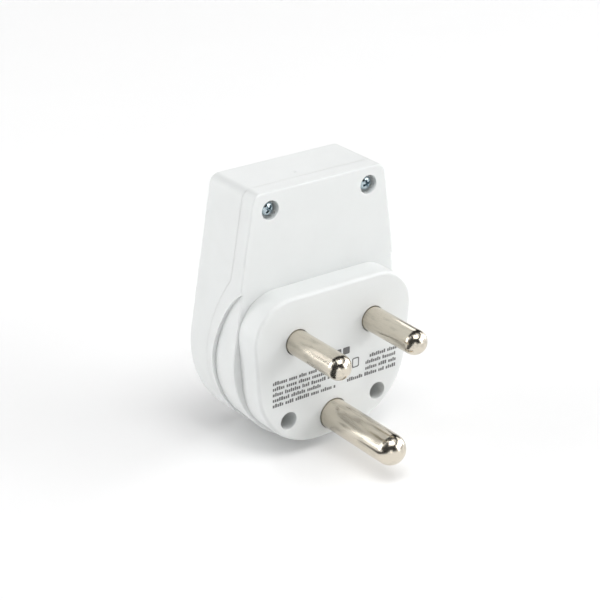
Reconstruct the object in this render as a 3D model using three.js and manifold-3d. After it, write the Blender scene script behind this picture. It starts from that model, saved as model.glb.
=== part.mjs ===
// Plug-in travel adaptor: a plug with three round pins at the rear (two 7.06 mm line pins and one
// 8.7 mm earth pin), a three-slot outlet and two USB charging ports at the front.
//
// Frame, in millimetres: the origin lies on the flat plug face, midway between the two line pins.
// +Y runs along the pins into the wall socket, +Z is up, and the outlet face looks along -Y.

import * as THREE from 'three';
import { mergeVertices } from 'three/addons/utils/BufferGeometryUtils.js';
import Module from 'manifold-3d';

const wasm = await Module();
wasm.setup();

// ---------------------------------------------------------------- driving dimensions

const CHORD_ERROR = 0.045; // largest distance between a round outline and its chords
const GAP = 0.15; // clearance between neighbouring pieces
const BEYOND = 40; // how far a cutting tool runs past what it cuts

const housing = {
  front: -28.2,
  rear: -7.7,
  top: 40.9,
  radius: 28.5, // of the round lower half
  centreZ: -5.9,
  sideLean: THREE.MathUtils.degToRad(9), // each side leans in towards the top
  cornerRadius: 3,
  frontEdge: 1.5,
  rearEdge: 0.5,
  frontWall: 2,
  rearWall: 2.2,
  rearSkirt: 3.6,
};

// The line where the two shells meet, seen from the side as (y, z) points of one curve.
const seam = {
  y: -12.5,
  lowY: -19.3,
  kinkZ: 16.4,
  lowZ: -6,
  pulls: [[-15.8, 11.6], [-19.3, 4.5]],
  tongue: 1.5,
};

// Finger grips: the rear shell steps inwards behind this curve, and tapers out again to its rim.
const grip = {
  rimZ: 13.9,
  stepY: -17.1,
  lowZ: -12,
  pulls: [[-13.4, 9.3], [-17.1, 1]],
  rimRadius: 27.9,
  rimCentreZ: -6.4,
  stepRadius: 27.3,
  stepCentreZ: -6.8,
};

// Raised plug face, as the corners (x, z, radius) of its right half from the top down.
const boss = {
  corners: [[27.35, 13.2, 11.7], [23.35, -31.35, 20.4]],
  edge: 1.1,
  wall: 2,
  face: 2.4,
};

const linePin = { x: 12.7, z: 0, radius: 3.53, length: 21.1 };
const earthPin = { x: 0, z: -25.15, radius: 4.35, length: 28.6 };
const pinFlange = { extra: 0.9, thickness: 1.5 };
const pinClearance = 0.1;
const poles = {
  live: { pin: linePin, x: -linePin.x },
  neutral: { pin: linePin, x: linePin.x },
  earth: { pin: earthPin, x: earthPin.x },
};
const pinTail = { radius: 2, length: 4.6 };

const screw = {
  headRadius: 1.95,
  headHeight: 2.1,
  headRim: 0.45, // share of the head's height below its dome
  shankRadius: 1.3,
  tipLength: 1.8,
  length: 11,
  slot: 0.55,
  slotDepth: 1.2,
};
const upperScrew = { x: 16.15, z: 35.67, recess: 2.65, seat: -10.4 };
const lowerScrew = { x: 15.18, z: -22.8, recess: 2.55, seat: -11.8 };
const post = { radius: 3.2, sleeve: 4, through: 1.5, bore: 1.45, meet: -14.15 };

// Outlet for two slanted flat pins and one upright earth pin.
const outlet = {
  centreZ: -3.96,
  poleX: 6.86,
  poleZ: 3.96,
  earthZ: -10.31,
  slant: THREE.MathUtils.degToRad(30),
  slot: [2.2, 7],
};

const shutter = {
  travel: 3,
  front: housing.front + housing.frontWall + GAP,
  thickness: 2,
  left: -14.4,
  right: 11.4,
  halfHeight: 5.2,
  window: [2.7, 7.8],
  pegRadius: 0.55,
  pegLength: 1.4,
};
const spring = { coilRadius: 0.9, wireRadius: 0.14, turns: 7, endX: 18.2, endGap: 0.1 };
const shutterGuide = { railHeight: 1.2, railEnd: 15, stopThickness: 1.25, stopHalfHeight: 1.8 };

const carrier = {
  front: -23.8,
  thickness: 1.2,
  rear: -9.9,
  entry: [2.6, 7.6],
  pocket: [6.4, 10.4],
  hollow: [4.6, 8.6],
};
const carrierPeg = { x: 14.4, z: -10.5, radius: 1.2, shoulder: 0.8, reach: 0.6 };

const clip = { thickness: 0.6, grip: 1.3, width: 7, front: -22.2, rear: -8.8 };
const strap = {
  thickness: 0.7,
  rear: -4.2 - GAP,
  eyelet: 3.6,
  armHalf: 2.4,
  riserShift: 0.9,
  riserHalf: 1.6,
  earthRiserHalf: 1.2,
  tabHalf: 1.3,
  tabTop: 6.8,
};
const tailClearance = 0.12; // between a pin's tail and the nut and eyelet round it
const nut = { acrossFlats: 7, height: 2.6 };

const board = { front: -14.6, thickness: 1.6, gap: 0.1 };
const boardPegs = [[17.3, 15.6], [9.6, 34.6]];
const boardPegRadius = 1.2;

const usbA = {
  x: -8,
  z: 27.6,
  width: 13.1,
  height: 5.7,
  corner: 0.5,
  wall: 0.35,
  front: -27.4,
  window: 0.35, // gap all round between the port and the edge of its window
  windowCorner: 0.6,
  blade: [11, 1.9],
  bladeShift: 0.9,
  baseCorner: 0.3,
};
const usbC = {
  x: 9.5,
  z: 27.6,
  width: 8.94,
  height: 3.26,
  corner: 1.55,
  wall: 0.3,
  front: -27.4,
  window: 0.35,
  windowCorner: 1.9,
  blade: [6.7, 0.8],
  bladeShift: 0,
  baseCorner: 1.1,
};
const chipLeg = { half: 0.2, thickness: 0.35, inside: 0.3, outside: 0.9 };
const resistor = { radius: 1.7, length: 7, wire: 0.35, span: 9, rise: 2.6 };
const choke = { flange: 2.5, core: 1.9, height: 6 };

// ---------------------------------------------------------------- outlines (lists of points)

const point = (x, y) => new THREE.Vector2(x, y);

function arc(cx, cy, radius, from, to) {
  const step = 2 * Math.acos(1 - CHORD_ERROR / radius);
  const count = Math.max(2, Math.ceil(Math.abs(to - from) / step));
  const points = [];
  for (let i = 0; i <= count; i += 1) {
    const angle = from + ((to - from) * i) / count;
    points.push(point(cx + radius * Math.cos(angle), cy + radius * Math.sin(angle)));
  }
  return points;
}

function circle(cx, cy, radius) {
  return arc(cx, cy, radius, 0, 2 * Math.PI).slice(0, -1);
}

function rectangle(cx, cy, width, height, turn = 0) {
  const corners = [[-1, -1], [1, -1], [1, 1], [-1, 1]];
  return corners.map(([sx, sy]) =>
    point((sx * width) / 2, (sy * height) / 2).rotateAround(point(0, 0), turn).add(point(cx, cy)));
}

// A polygon given counter-clockwise as [x, y, corner radius] entries.
function roundedPolygon(corners) {
  const points = [];
  corners.forEach(([x, y, radius], i) => {
    const here = point(x, y);
    const before = point(...corners.at(i - 1).slice(0, 2)).sub(here).normalize();
    const after = point(...corners[(i + 1) % corners.length].slice(0, 2)).sub(here).normalize();
    const half = Math.acos(before.dot(after)) / 2;
    const bisector = before.clone().add(after).normalize();
    const centre = here.clone().addScaledVector(bisector, radius / Math.sin(half));
    const start = Math.atan2(-bisector.y, -bisector.x) - (Math.PI / 2 - half);
    points.push(...arc(centre.x, centre.y, radius, start, start + Math.PI - 2 * half));
  });
  return points;
}

function roundedRectangle(cx, cy, width, height, radius) {
  const signs = [[-1, -1], [1, -1], [1, 1], [-1, 1]];
  return roundedPolygon(signs.map(([sx, sy]) => [cx + (sx * width) / 2, cy + (sy * height) / 2, radius]));
}

// The round lower half, in four arcs so that it passes exactly through its widest and lowest points.
function lowerRound(centreZ, radius) {
  const lean = housing.sideLean;
  const stops = [Math.PI - lean, Math.PI, 1.5 * Math.PI, 2 * Math.PI, 2 * Math.PI + lean];
  const arcs = stops.slice(1).map((end, i) => arc(0, centreZ, radius, stops[i], end));
  return [...arcs.flatMap((points) => points.slice(0, -1)), arcs.at(-1).at(-1)];
}

// The housing seen from the front: round below, sides leaning in, flat top with rounded corners.
function housingOutline(inset, radius = housing.radius, centreZ = housing.centreZ) {
  const lean = housing.sideLean;
  const big = radius - inset;
  const corner = Math.max(housing.cornerRadius - inset, 0.6);
  const cornerZ = housing.top - inset - corner;
  const cornerX = (big - corner - (cornerZ - centreZ) * Math.sin(lean)) / Math.cos(lean);
  return [
    ...arc(cornerX, cornerZ, corner, lean, Math.PI / 2),
    ...arc(-cornerX, cornerZ, corner, Math.PI / 2, Math.PI - lean),
    ...lowerRound(centreZ, big),
  ];
}

function bossOutline(inset) {
  const [upper, lower] = boss.corners;
  const right = [upper, lower].map(([x, z, r]) => [x - inset, z + (z > 0 ? -inset : inset), r - inset]);
  const left = right.map(([x, z, r]) => [-x, z, r]);
  return roundedPolygon([left[1], right[1], right[0], left[0]]);
}

// The area behind a side profile: straight, one cubic curve, straight again, then round the rear.
function areaBehind(start, pulls, end, shift) {
  const moved = [start, ...pulls, end].map(([y, z]) => point(y + shift, z));
  const curve = new THREE.CubicBezierCurve(...moved).getPoints(14);
  const top = point(moved[0].x, BEYOND + 10);
  const bottom = point(moved[3].x, -BEYOND);
  return [top, ...curve, bottom, point(BEYOND, -BEYOND), point(BEYOND, BEYOND + 10)];
}

// ---------------------------------------------------------------- solids

function solid(geometry) {
  const bare = geometry.index ? geometry : geometry.clone();
  bare.deleteAttribute('normal');
  bare.deleteAttribute('uv');
  const merged = mergeVertices(bare, 1e-4);
  return new wasm.Manifold(new wasm.Mesh({
    numProp: 3,
    vertProperties: new Float32Array(merged.attributes.position.array),
    triVerts: new Uint32Array(merged.index.array),
  }));
}

const join = (first, ...others) => others.reduce((whole, other) => whole.add(other), first);
const cut = (first, ...others) => others.reduce((whole, other) => whole.subtract(other), first);

function extruded(outline, depth) {
  return new THREE.ExtrudeGeometry(new THREE.Shape(outline), { depth, bevelEnabled: false });
}

// An outline drawn in (x, z), extruded along Y between two values.
function alongY(outline, y0, y1) {
  return solid(extruded(outline, y1 - y0).rotateX(Math.PI / 2).translate(0, y1, 0));
}

// The same with both end edges rounded.
function roundedAlongY(outline, y0, y1, radius, segments) {
  const geometry = new THREE.ExtrudeGeometry(new THREE.Shape(outline), {
    depth: y1 - y0 - 2 * radius,
    bevelThickness: radius,
    bevelSize: radius,
    bevelOffset: -radius,
    bevelSegments: segments,
  });
  return solid(geometry.rotateX(Math.PI / 2).translate(0, y1 - radius, 0));
}

// An outline drawn in (y, z), extruded along X on both sides of the middle.
function acrossX(outline) {
  const lying = new THREE.Matrix4().makeBasis(
    new THREE.Vector3(0, 1, 0), new THREE.Vector3(0, 0, 1), new THREE.Vector3(1, 0, 0));
  return solid(extruded(outline, 2 * BEYOND).applyMatrix4(lying).translate(-BEYOND, 0, 0));
}

function box(x0, x1, y0, y1, z0, z1) {
  const geometry = new THREE.BoxGeometry(x1 - x0, y1 - y0, z1 - z0);
  return solid(geometry.translate((x0 + x1) / 2, (y0 + y1) / 2, (z0 + z1) / 2));
}

function rod(x, z, radius, y0, y1) {
  return alongY(circle(x, z, radius), y0, y1);
}

// A profile of (radius, y) points, from the axis round to the axis, turned about Y.
function turned(profile) {
  const widest = Math.max(...profile.map((p) => p.x));
  const sides = Math.ceil(Math.PI / Math.acos(1 - CHORD_ERROR / widest));
  return solid(new THREE.LatheGeometry(profile, sides));
}

function tubeAlong(curve, radius, sides, steps) {
  const section = new THREE.Shape();
  for (let i = 0; i < sides; i += 1) {
    const angle = (2 * Math.PI * i) / sides;
    const x = radius * Math.cos(angle);
    const y = radius * Math.sin(angle);
    if (i === 0) section.moveTo(x, y);
    else section.lineTo(x, y);
  }
  return solid(new THREE.ExtrudeGeometry(section, { extrudePath: curve, steps, bevelEnabled: false }));
}

// ---------------------------------------------------------------- materials and nodes

const finish = (color, roughness, metalness) =>
  new THREE.MeshStandardMaterial({ color, roughness, metalness });
const materials = {
  white: finish(0xe9ebea, 0.38, 0),
  nickel: finish(0xcfc8b8, 0.18, 1),
  zinc: finish(0xb4bcc4, 0.3, 1),
  brass: finish(0xc9a75a, 0.35, 1),
  spring: finish(0xb9bcc0, 0.3, 1),
  insulator: finish(0xd8d5cc, 0.55, 0),
  shutter: finish(0xdedfe0, 0.45, 0),
  laminate: finish(0x2f6b3f, 0.5, 0),
  port: finish(0xc4c7ca, 0.28, 1),
  tongue: finish(0x222426, 0.5, 0),
  ferrite: finish(0x3a3b3d, 0.7, 0),
  winding: finish(0xd9b13a, 0.5, 0),
  capacitor: finish(0x23304a, 0.35, 0),
  chip: finish(0x1c1d1f, 0.5, 0),
  resistor: finish(0x5d8a86, 0.6, 0),
  liveWire: finish(0x7a4a2b, 0.5, 0),
  neutralWire: finish(0x2c5fa8, 0.5, 0),
};

const group = new THREE.Group();

function geometryOf(piece) {
  const { vertProperties, triVerts } = piece.getMesh();
  const geometry = new THREE.BufferGeometry();
  geometry.setAttribute('position', new THREE.BufferAttribute(vertProperties, 3));
  geometry.setIndex(new THREE.BufferAttribute(triVerts, 1));
  geometry.computeVertexNormals();
  return geometry;
}

function node(name, piece, material, parent = group) {
  const mesh = new THREE.Mesh(geometryOf(piece), material);
  mesh.name = name;
  parent.add(mesh);
  return mesh;
}

// ---------------------------------------------------------------- housing

const bothSides = (x, make) => [make(-x), make(x)];
const seamArea = (shift) =>
  acrossX(areaBehind([seam.y, seam.kinkZ], seam.pulls, [seam.lowY, seam.lowZ], shift));

// What the rear shell keeps behind the grip step: a ring that tapers out towards its rim.
function gripRing() {
  const y0 = grip.stepY;
  const y1 = housing.rear;
  const geometry = extruded(housingOutline(0, grip.rimRadius, grip.rimCentreZ), y1 - y0);
  geometry.rotateX(Math.PI / 2).translate(0, y1, 0);
  const position = geometry.attributes.position;
  const shrink = grip.stepRadius / grip.rimRadius;
  for (let i = 0; i < position.count; i += 1) {
    if (position.getY(i) < (y0 + y1) / 2) {
      position.setX(i, position.getX(i) * shrink);
      position.setZ(i, grip.stepCentreZ + (position.getZ(i) - grip.rimCentreZ) * shrink);
    }
  }
  return solid(geometry);
}

function gripCutter() {
  const profile = areaBehind([housing.rear, grip.rimZ], grip.pulls, [grip.stepY, grip.lowZ], 0);
  const below = box(-BEYOND, BEYOND, grip.stepY - 1, housing.rear + BEYOND, -BEYOND, grip.rimZ);
  const behindStep = acrossX(profile).intersect(below);
  const ring = join(gripRing(), alongY(bossOutline(-0.05), housing.rear - 1, BEYOND));
  return behindStep.subtract(ring);
}

function rearShell() {
  const outer = roundedAlongY(housingOutline(0), housing.front, housing.rear, housing.rearEdge, 2);
  const lip = alongY(housingOutline(housing.frontWall + GAP), housing.front + 1, housing.rear - 1);
  const plug = roundedAlongY(bossOutline(0), housing.rear - 2, 0, boss.edge, 3);
  const shell = join(outer.intersect(seamArea(0)), lip.intersect(seamArea(-seam.tongue)), plug);
  const cavityEnd = housing.rear - housing.rearWall;
  const cavity = alongY(housingOutline(housing.rearSkirt), housing.front - 1, cavityEnd);
  const plugCavity = alongY(bossOutline(boss.wall), housing.front - 1, -boss.face);
  const hollow = cut(shell, gripCutter(), cavity, plugCavity);

  const sleeves = [upperScrew, lowerScrew].flatMap((s) =>
    bothSides(s.x, (x) => rod(x, s.z, post.sleeve, post.meet + GAP, -1)));
  const inside = join(
    alongY(housingOutline(housing.frontWall + GAP), post.meet, housing.rear - 0.5),
    alongY(bossOutline(0.5), housing.rear - 1, -0.5));
  const pegs = boardPegs.flatMap(([px, z]) => bothSides(px, (x) =>
    rod(x, z, boardPegRadius, board.front + board.thickness + board.gap, housing.rear - 1)));
  const body = join(hollow, ...sleeves.map((s) => s.intersect(inside)), ...pegs);

  const screwHoles = [upperScrew, lowerScrew].flatMap((s) => bothSides(s.x, (x) =>
    join(rod(x, s.z, s.recess, s.seat, 1), rod(x, s.z, post.through, post.meet - 1, 0))));
  const postRoom = bothSides(lowerScrew.x, (x) =>
    rod(x, lowerScrew.z, post.radius + GAP, -BEYOND, post.meet));
  const pinHoles = Object.values(poles).flatMap(({ pin, x }) => [
    rod(x, pin.z, pin.radius + pinClearance, -BEYOND, 1),
    rod(x, pin.z, pin.radius + pinFlange.extra + GAP, -BEYOND, -boss.face),
  ]);
  return cut(body, ...screwHoles, ...postRoom, ...pinHoles);
}

function slotOutlines(width, height, shiftX = 0) {
  const z = outlet.centreZ + outlet.poleZ;
  return [-1, 1].map((side) =>
    rectangle(side * outlet.poleX + shiftX, z, width, height, side * outlet.slant));
}

const earthSlot = (width, height) => rectangle(0, outlet.centreZ + outlet.earthZ, width, height);

function frontShell() {
  const inner = housing.front + housing.frontWall;
  const outer = roundedAlongY(housingOutline(0), housing.front, BEYOND, housing.frontEdge, 4);
  const hollow = cut(outer, seamArea(-GAP), alongY(housingOutline(housing.frontWall), inner, BEYOND));

  const screwPosts = [upperScrew, lowerScrew].flatMap((s) => bothSides(s.x, (x) =>
    rod(x, s.z, post.radius, inner - 1, post.meet - GAP)));
  const pegs = boardPegs.flatMap(([px, z]) => bothSides(px, (x) =>
    rod(x, z, boardPegRadius, inner - 1, board.front - board.gap)));
  const pegEnd = carrier.front + carrier.thickness + carrierPeg.reach;
  const carrierPegs = bothSides(carrierPeg.x, (x) =>
    rod(x, carrierPeg.z, carrierPeg.radius, inner - 1, pegEnd));
  const shoulders = bothSides(carrierPeg.x, (x) =>
    rod(x, carrierPeg.z, carrierPeg.radius + carrierPeg.shoulder, inner - 1, carrier.front - GAP));
  const { railHeight, railEnd, stopThickness, stopHalfHeight } = shutterGuide;
  const rails = [-1, 1].map((side) => {
    const near = side * (shutter.halfHeight + GAP);
    const span = [near, near + side * railHeight].sort((a, b) => a - b);
    return box(shutter.left - 1, railEnd, inner - 1, carrier.front - GAP, ...span);
  });
  const stopX = spring.endX + GAP;
  const stopEnd = carrier.front;
  const springStop = box(stopX, stopX + stopThickness, inner - 1, stopEnd, -stopHalfHeight, stopHalfHeight);
  const frame = housingOutline(0.5);
  const fittings = join(...screwPosts, ...pegs, ...carrierPegs, ...shoulders, ...rails, springStop)
    .intersect(alongY(frame, housing.front + 0.5, 0));

  const bores = [upperScrew, lowerScrew].flatMap((s) => bothSides(s.x, (x) =>
    rod(x, s.z, post.bore, inner + 1, 0)));
  const slots = [...slotOutlines(...outlet.slot), earthSlot(...outlet.slot)].map((outline) =>
    alongY(outline, housing.front - 1, inner + 1));
  const usbWindows = [usbA, usbC].map(({ x, z, width, height, window: room, windowCorner }) =>
    alongY(roundedRectangle(x, z, width + 2 * room, height + 2 * room, windowCorner),
      housing.front - 1, inner + 1));
  return cut(join(hollow, fittings), ...bores, ...slots, ...usbWindows);
}

node('rear_shell', rearShell(), materials.white);
node('front_shell', frontShell(), materials.white);

// ---------------------------------------------------------------- plug pins and their nuts

function pinSolid({ radius, length }) {
  const flangeFront = -boss.face - 0.1;
  const flangeRear = flangeFront - pinFlange.thickness;
  const tailEnd = flangeRear - pinTail.length;
  const flange = radius + pinFlange.extra;
  return turned([
    point(0, tailEnd),
    point(pinTail.radius - 0.3, tailEnd),
    point(pinTail.radius, tailEnd + 0.3),
    point(pinTail.radius, flangeRear),
    point(flange, flangeRear),
    point(flange, flangeFront),
    point(radius, flangeFront),
    ...arc(0, length - radius, radius, 0, Math.PI / 2).slice(0, -1),
    point(0, length),
  ]);
}

function nutSolid() {
  const outer = nut.acrossFlats / Math.sqrt(3);
  const hexagon = [0, 1, 2, 3, 4, 5].map((i) =>
    point(outer, 0).rotateAround(point(0, 0), (i * Math.PI) / 3));
  return cut(alongY(hexagon, -nut.height, 0), rod(0, 0, pinTail.radius + tailClearance, -nut.height - 1, 1));
}

for (const [name, { pin, x }] of Object.entries(poles)) {
  node(`${name}_pin`, pinSolid(pin), materials.nickel).position.set(x, 0, pin.z);
  const seat = strap.rear - strap.thickness - 0.1;
  node(`${name}_pin_nut`, nutSolid(), materials.zinc).position.set(x, seat, pin.z);
}

// ---------------------------------------------------------------- outlet contacts and carrier

// A spring clip of two leaves joined at the rear, open towards the outlet slot at its front.
function clipSolid(x, z, turn) {
  const leafOffset = (clip.grip + clip.thickness) / 2;
  const around = ([dx, dz]) => point(dx, dz).rotateAround(point(0, 0), turn).add(point(x, z));
  const leaves = [-1, 1].map((side) => {
    const centre = around([side * leafOffset, 0]);
    return alongY(rectangle(centre.x, centre.y, clip.thickness, clip.width, turn), clip.front, clip.rear);
  });
  const width = clip.grip + 2 * clip.thickness;
  const bridge = alongY(rectangle(x, z, width, clip.width, turn), clip.rear - clip.thickness, clip.rear);
  return join(bridge, ...leaves);
}

function eyelet(x, z, radius) {
  const hole = rod(x, z, pinTail.radius + tailClearance, strap.rear - 1, strap.rear + 1);
  return { plate: rod(x, z, radius, strap.rear - strap.thickness, strap.rear), hole };
}

// Contact of one line pole: eyelet on the pin, solder tab for the lead, arm, riser and clip.
function poleContact(side) {
  const pinX = side * linePin.x;
  const clipX = side * outlet.poleX;
  const { plate, hole } = eyelet(pinX, 0, strap.eyelet);
  const back = strap.rear - strap.thickness;
  const riserX = clipX + side * strap.riserShift;
  const half = strap.thickness / 2;
  const armEnds = [pinX, riserX - side * half].sort((a, b) => a - b);
  const arm = box(...armEnds, back, strap.rear, -strap.armHalf, strap.armHalf);
  const riserStart = clip.rear - clip.thickness;
  const riser = box(riserX - half, riserX + half, riserStart, strap.rear, -strap.riserHalf, strap.riserHalf);
  const tab = box(pinX - strap.tabHalf, pinX + strap.tabHalf, back, strap.rear, 0, strap.tabTop);
  return cut(join(plate, arm, riser, tab, clipSolid(clipX, 0, side * outlet.slant)), hole);
}

function earthContact() {
  const { plate, hole } = eyelet(0, earthPin.z, strap.eyelet);
  const back = strap.rear - strap.thickness;
  const clipZ = outlet.centreZ + outlet.earthZ;
  const half = strap.thickness / 2;
  const wide = strap.earthRiserHalf;
  const arm = box(-strap.armHalf, strap.armHalf, back, strap.rear, earthPin.z, clipZ + half);
  const riser = box(-wide, wide, clip.rear - clip.thickness, strap.rear, clipZ - half, clipZ + half);
  return cut(join(plate, arm, riser, clipSolid(0, clipZ, 0)), hole);
}

function contactCarrier() {
  const outline = roundedPolygon([
    [-6.5, -21.5, 2], [6.5, -21.5, 2], [16.8, -13, 2], [16.8, -6.6, 1],
    [13.2, 7.4, 1.5], [-13.2, 7.4, 1.5], [-16.8, -6.6, 1], [-16.8, -13, 2],
  ]);
  const plateRear = carrier.front + carrier.thickness;
  const plate = alongY(outline, carrier.front, plateRear);
  const pocketOutlines = (size) => [...slotOutlines(...size), earthSlot(...size)];
  const pockets = pocketOutlines(carrier.pocket).map((o) => alongY(o, plateRear - 0.5, carrier.rear));
  const hollows = pocketOutlines(carrier.hollow).map((o) => alongY(o, plateRear, carrier.rear + 1));
  const entries = pocketOutlines(carrier.entry).map((o) => alongY(o, carrier.front - 1, plateRear + 1));
  const pegHoles = bothSides(carrierPeg.x, (x) =>
    rod(x, carrierPeg.z, carrierPeg.radius + GAP, carrier.front - 1, plateRear + 1));
  return cut(join(plate, ...pockets), ...hollows, ...entries, ...pegHoles);
}

node('live_contact', poleContact(-1), materials.brass);
node('neutral_contact', poleContact(1), materials.brass);
node('earth_contact', earthContact(), materials.brass);
node('contact_carrier', contactCarrier(), materials.insulator);

// ---------------------------------------------------------------- outlet shutter and its spring

function shutterSolid() {
  const rear = shutter.front + shutter.thickness;
  const half = shutter.halfHeight;
  const plate = box(shutter.left, shutter.right, shutter.front, rear, -half, half);
  const windows = slotOutlines(...shutter.window, -shutter.travel).map((o) =>
    alongY(o, shutter.front - 1, rear + 1));
  const peg = new THREE.CylinderGeometry(shutter.pegRadius, shutter.pegRadius, shutter.pegLength + 1, 12);
  const middle = shutter.front + shutter.thickness / 2;
  peg.rotateZ(Math.PI / 2).translate(shutter.right + (shutter.pegLength - 1) / 2, middle, 0);
  return cut(join(plate, solid(peg)), ...windows);
}

class Helix extends THREE.Curve {
  constructor(startX, endX, y, radius, turns) {
    super();
    Object.assign(this, { startX, endX, y, radius, turns });
  }

  getPoint(t, target = new THREE.Vector3()) {
    const angle = 2 * Math.PI * this.turns * t;
    const x = this.startX + (this.endX - this.startX) * t;
    return target.set(x, this.y + this.radius * Math.cos(angle), this.radius * Math.sin(angle));
  }
}

function springSolid() {
  const start = shutter.right + spring.wireRadius + spring.endGap;
  const end = spring.endX - spring.wireRadius;
  const middle = shutter.front + shutter.thickness / 2;
  const helix = new Helix(start, end, middle, spring.coilRadius, spring.turns);
  return tubeAlong(helix, spring.wireRadius, 5, spring.turns * 10);
}

node('outlet_shutter', shutterSolid(), materials.shutter);
node('shutter_spring', springSolid(), materials.spring);

// ---------------------------------------------------------------- USB charger board

const boardRear = board.front + board.thickness;
const onFront = board.front - board.gap; // where parts on the outlet side of the board start
const onRear = boardRear + board.gap; // where parts on the plug side of the board start

const charger = new THREE.Group();
group.add(charger);

function boardSolid() {
  const outline = roundedPolygon([
    [-19.5, 13.6, 0.8], [19.5, 13.6, 0.8], [18, 30.9, 0.8], [11.8, 30.9, 0.5],
    [11.8, 36.8, 0.8], [-11.8, 36.8, 0.8], [-11.8, 30.9, 0.5], [-18, 30.9, 0.8],
  ]);
  return alongY(outline, board.front, boardRear);
}

function portShell({ x, z, width, height, corner, wall, front }) {
  const outer = alongY(roundedRectangle(x, z, width, height, corner), front, onFront);
  const inner = roundedRectangle(x, z, width - 2 * wall, height - 2 * wall, Math.max(corner - wall, 0.2));
  return cut(outer, alongY(inner, front - 1, onFront + 1));
}

// The insulator inside a port: a base on the board and the blade that carries the contacts.
function portTongue({ x, z, width, height, wall, front, blade, bladeShift, baseCorner }) {
  const inset = 2 * wall + 0.2;
  const base = roundedRectangle(x, z, width - inset, height - inset, baseCorner);
  const [bladeWidth, bladeHeight] = blade;
  const tongue = roundedRectangle(x, z + bladeShift, bladeWidth, bladeHeight, 0.25);
  return join(alongY(base, onFront - 2.6, onFront), alongY(tongue, front + 0.8, onFront - 2));
}

const transformer = {
  x: 0,
  z: 18.9,
  coreHalf: [7, 4.8],
  coreY: [-22, -18],
  leg: 1.5, // half the height of the middle leg
  window: [5, 3.5],
  clear: 0.2, // between the winding and the core
  coilHalf: 4.2,
};

function transformerCore() {
  const { x, z, coreHalf: [halfX, halfZ], coreY, leg, window: [windowX, windowZ] } = transformer;
  const block = box(x - halfX, x + halfX, ...coreY, z - halfZ, z + halfZ);
  const windows = [-1, 1].map((side) => {
    const low = Math.min(side * leg, side * windowZ);
    const high = Math.max(side * leg, side * windowZ);
    return box(x - windowX, x + windowX, coreY[0] - 1, coreY[1] + 1, z + low, z + high);
  });
  return cut(block, ...windows);
}

function transformerWinding() {
  const { x, z, coreY, leg, clear, coilHalf, window: [windowX, windowZ] } = transformer;
  const middleY = (coreY[0] + coreY[1]) / 2;
  const coilOutline = roundedRectangle(x, z, 2 * (windowX - clear), 2 * (windowZ - clear), 0.8);
  const coil = alongY(coilOutline, middleY - coilHalf, middleY + coilHalf);
  const foot = box(x - 4.4, x + 4.4, middleY + coilHalf - 0.2, onFront, z - 3, z + 3);
  const room = leg + clear;
  const legHole = box(x - BEYOND, x + BEYOND, coreY[0] - clear, coreY[1] + clear, z - room, z + room);
  return cut(join(coil, foot), legHole);
}

function canCapacitor(radius, height) {
  return turned([
    point(0, -height),
    point(radius - 0.4, -height),
    point(radius, -height + 0.4),
    point(radius, -1.6),
    point(radius - 0.35, -1.2),
    point(radius, -0.8),
    point(radius, 0),
    point(0, 0),
  ]);
}

// Lies along X above the board, on two bent-down wire legs.
function axialResistor() {
  const { radius, length, wire, span, rise } = resistor;
  const lying = (r, reach, sides) =>
    solid(new THREE.CylinderGeometry(r, r, reach, sides).rotateZ(Math.PI / 2).translate(0, -rise, 0));
  const legs = bothSides(span / 2, (x) => rod(x, 0, wire, -rise - 0.3, 0));
  return join(lying(radius, length, 16), lying(wire, span + 0.6, 8), ...legs);
}

function drumChoke() {
  const { flange, core, height } = choke;
  return turned([
    point(0, -height),
    point(flange, -height),
    point(flange, -height + 1),
    point(core, -height + 1.2),
    point(core, -1.2),
    point(flange, -1),
    point(flange, 0),
    point(0, 0),
  ]);
}

function chip(width, height, thickness) {
  const body = box(-width / 2, width / 2, 0.1, thickness, -height / 2, height / 2);
  const legs = [-1.5, -0.5, 0.5, 1.5].flatMap((k) => [-1, 1].map((side) => {
    const { half, inside, outside } = chipLeg;
    const span = [side * (height / 2 - inside), side * (height / 2 + outside)].sort((p, q) => p - q);
    const x = (k * width) / 4.4;
    return box(x - half, x + half, 0, chipLeg.thickness, ...span);
  }));
  return join(body, ...legs);
}

node('circuit_board', boardSolid(), materials.laminate, charger);
node('usb_a_port', portShell(usbA), materials.port, charger);
node('usb_a_tongue', portTongue(usbA), materials.tongue, charger);
node('usb_c_port', portShell(usbC), materials.port, charger);
node('usb_c_tongue', portTongue(usbC), materials.tongue, charger);
node('transformer_core', transformerCore(), materials.ferrite, charger);
node('transformer_winding', transformerWinding(), materials.winding, charger);

// Board parts by name: solid, material and where they stand.
const boardParts = {
  input_capacitor: [canCapacitor(4, 10.6), materials.capacitor, [-13.3, onFront, 18.9]],
  output_capacitor: [canCapacitor(3.15, 8.6), materials.capacitor, [12.3, onFront, 18.7]],
  fusible_resistor: [axialResistor(), materials.resistor, [-3.2, onFront, 33.6]],
  filter_choke: [drumChoke(), materials.ferrite, [5.2, onFront, 33.6]],
  bridge_rectifier: [chip(4.7, 3.9, 2.3), materials.chip, [-12, onRear, 20]],
  switching_controller: [chip(4.9, 3.9, 1.6), materials.chip, [4, onRear, 20]],
};
for (const [name, [piece, material, place]] of Object.entries(boardParts)) {
  node(name, piece, material, charger).position.set(...place);
}

// ---------------------------------------------------------------- supply leads

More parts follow.
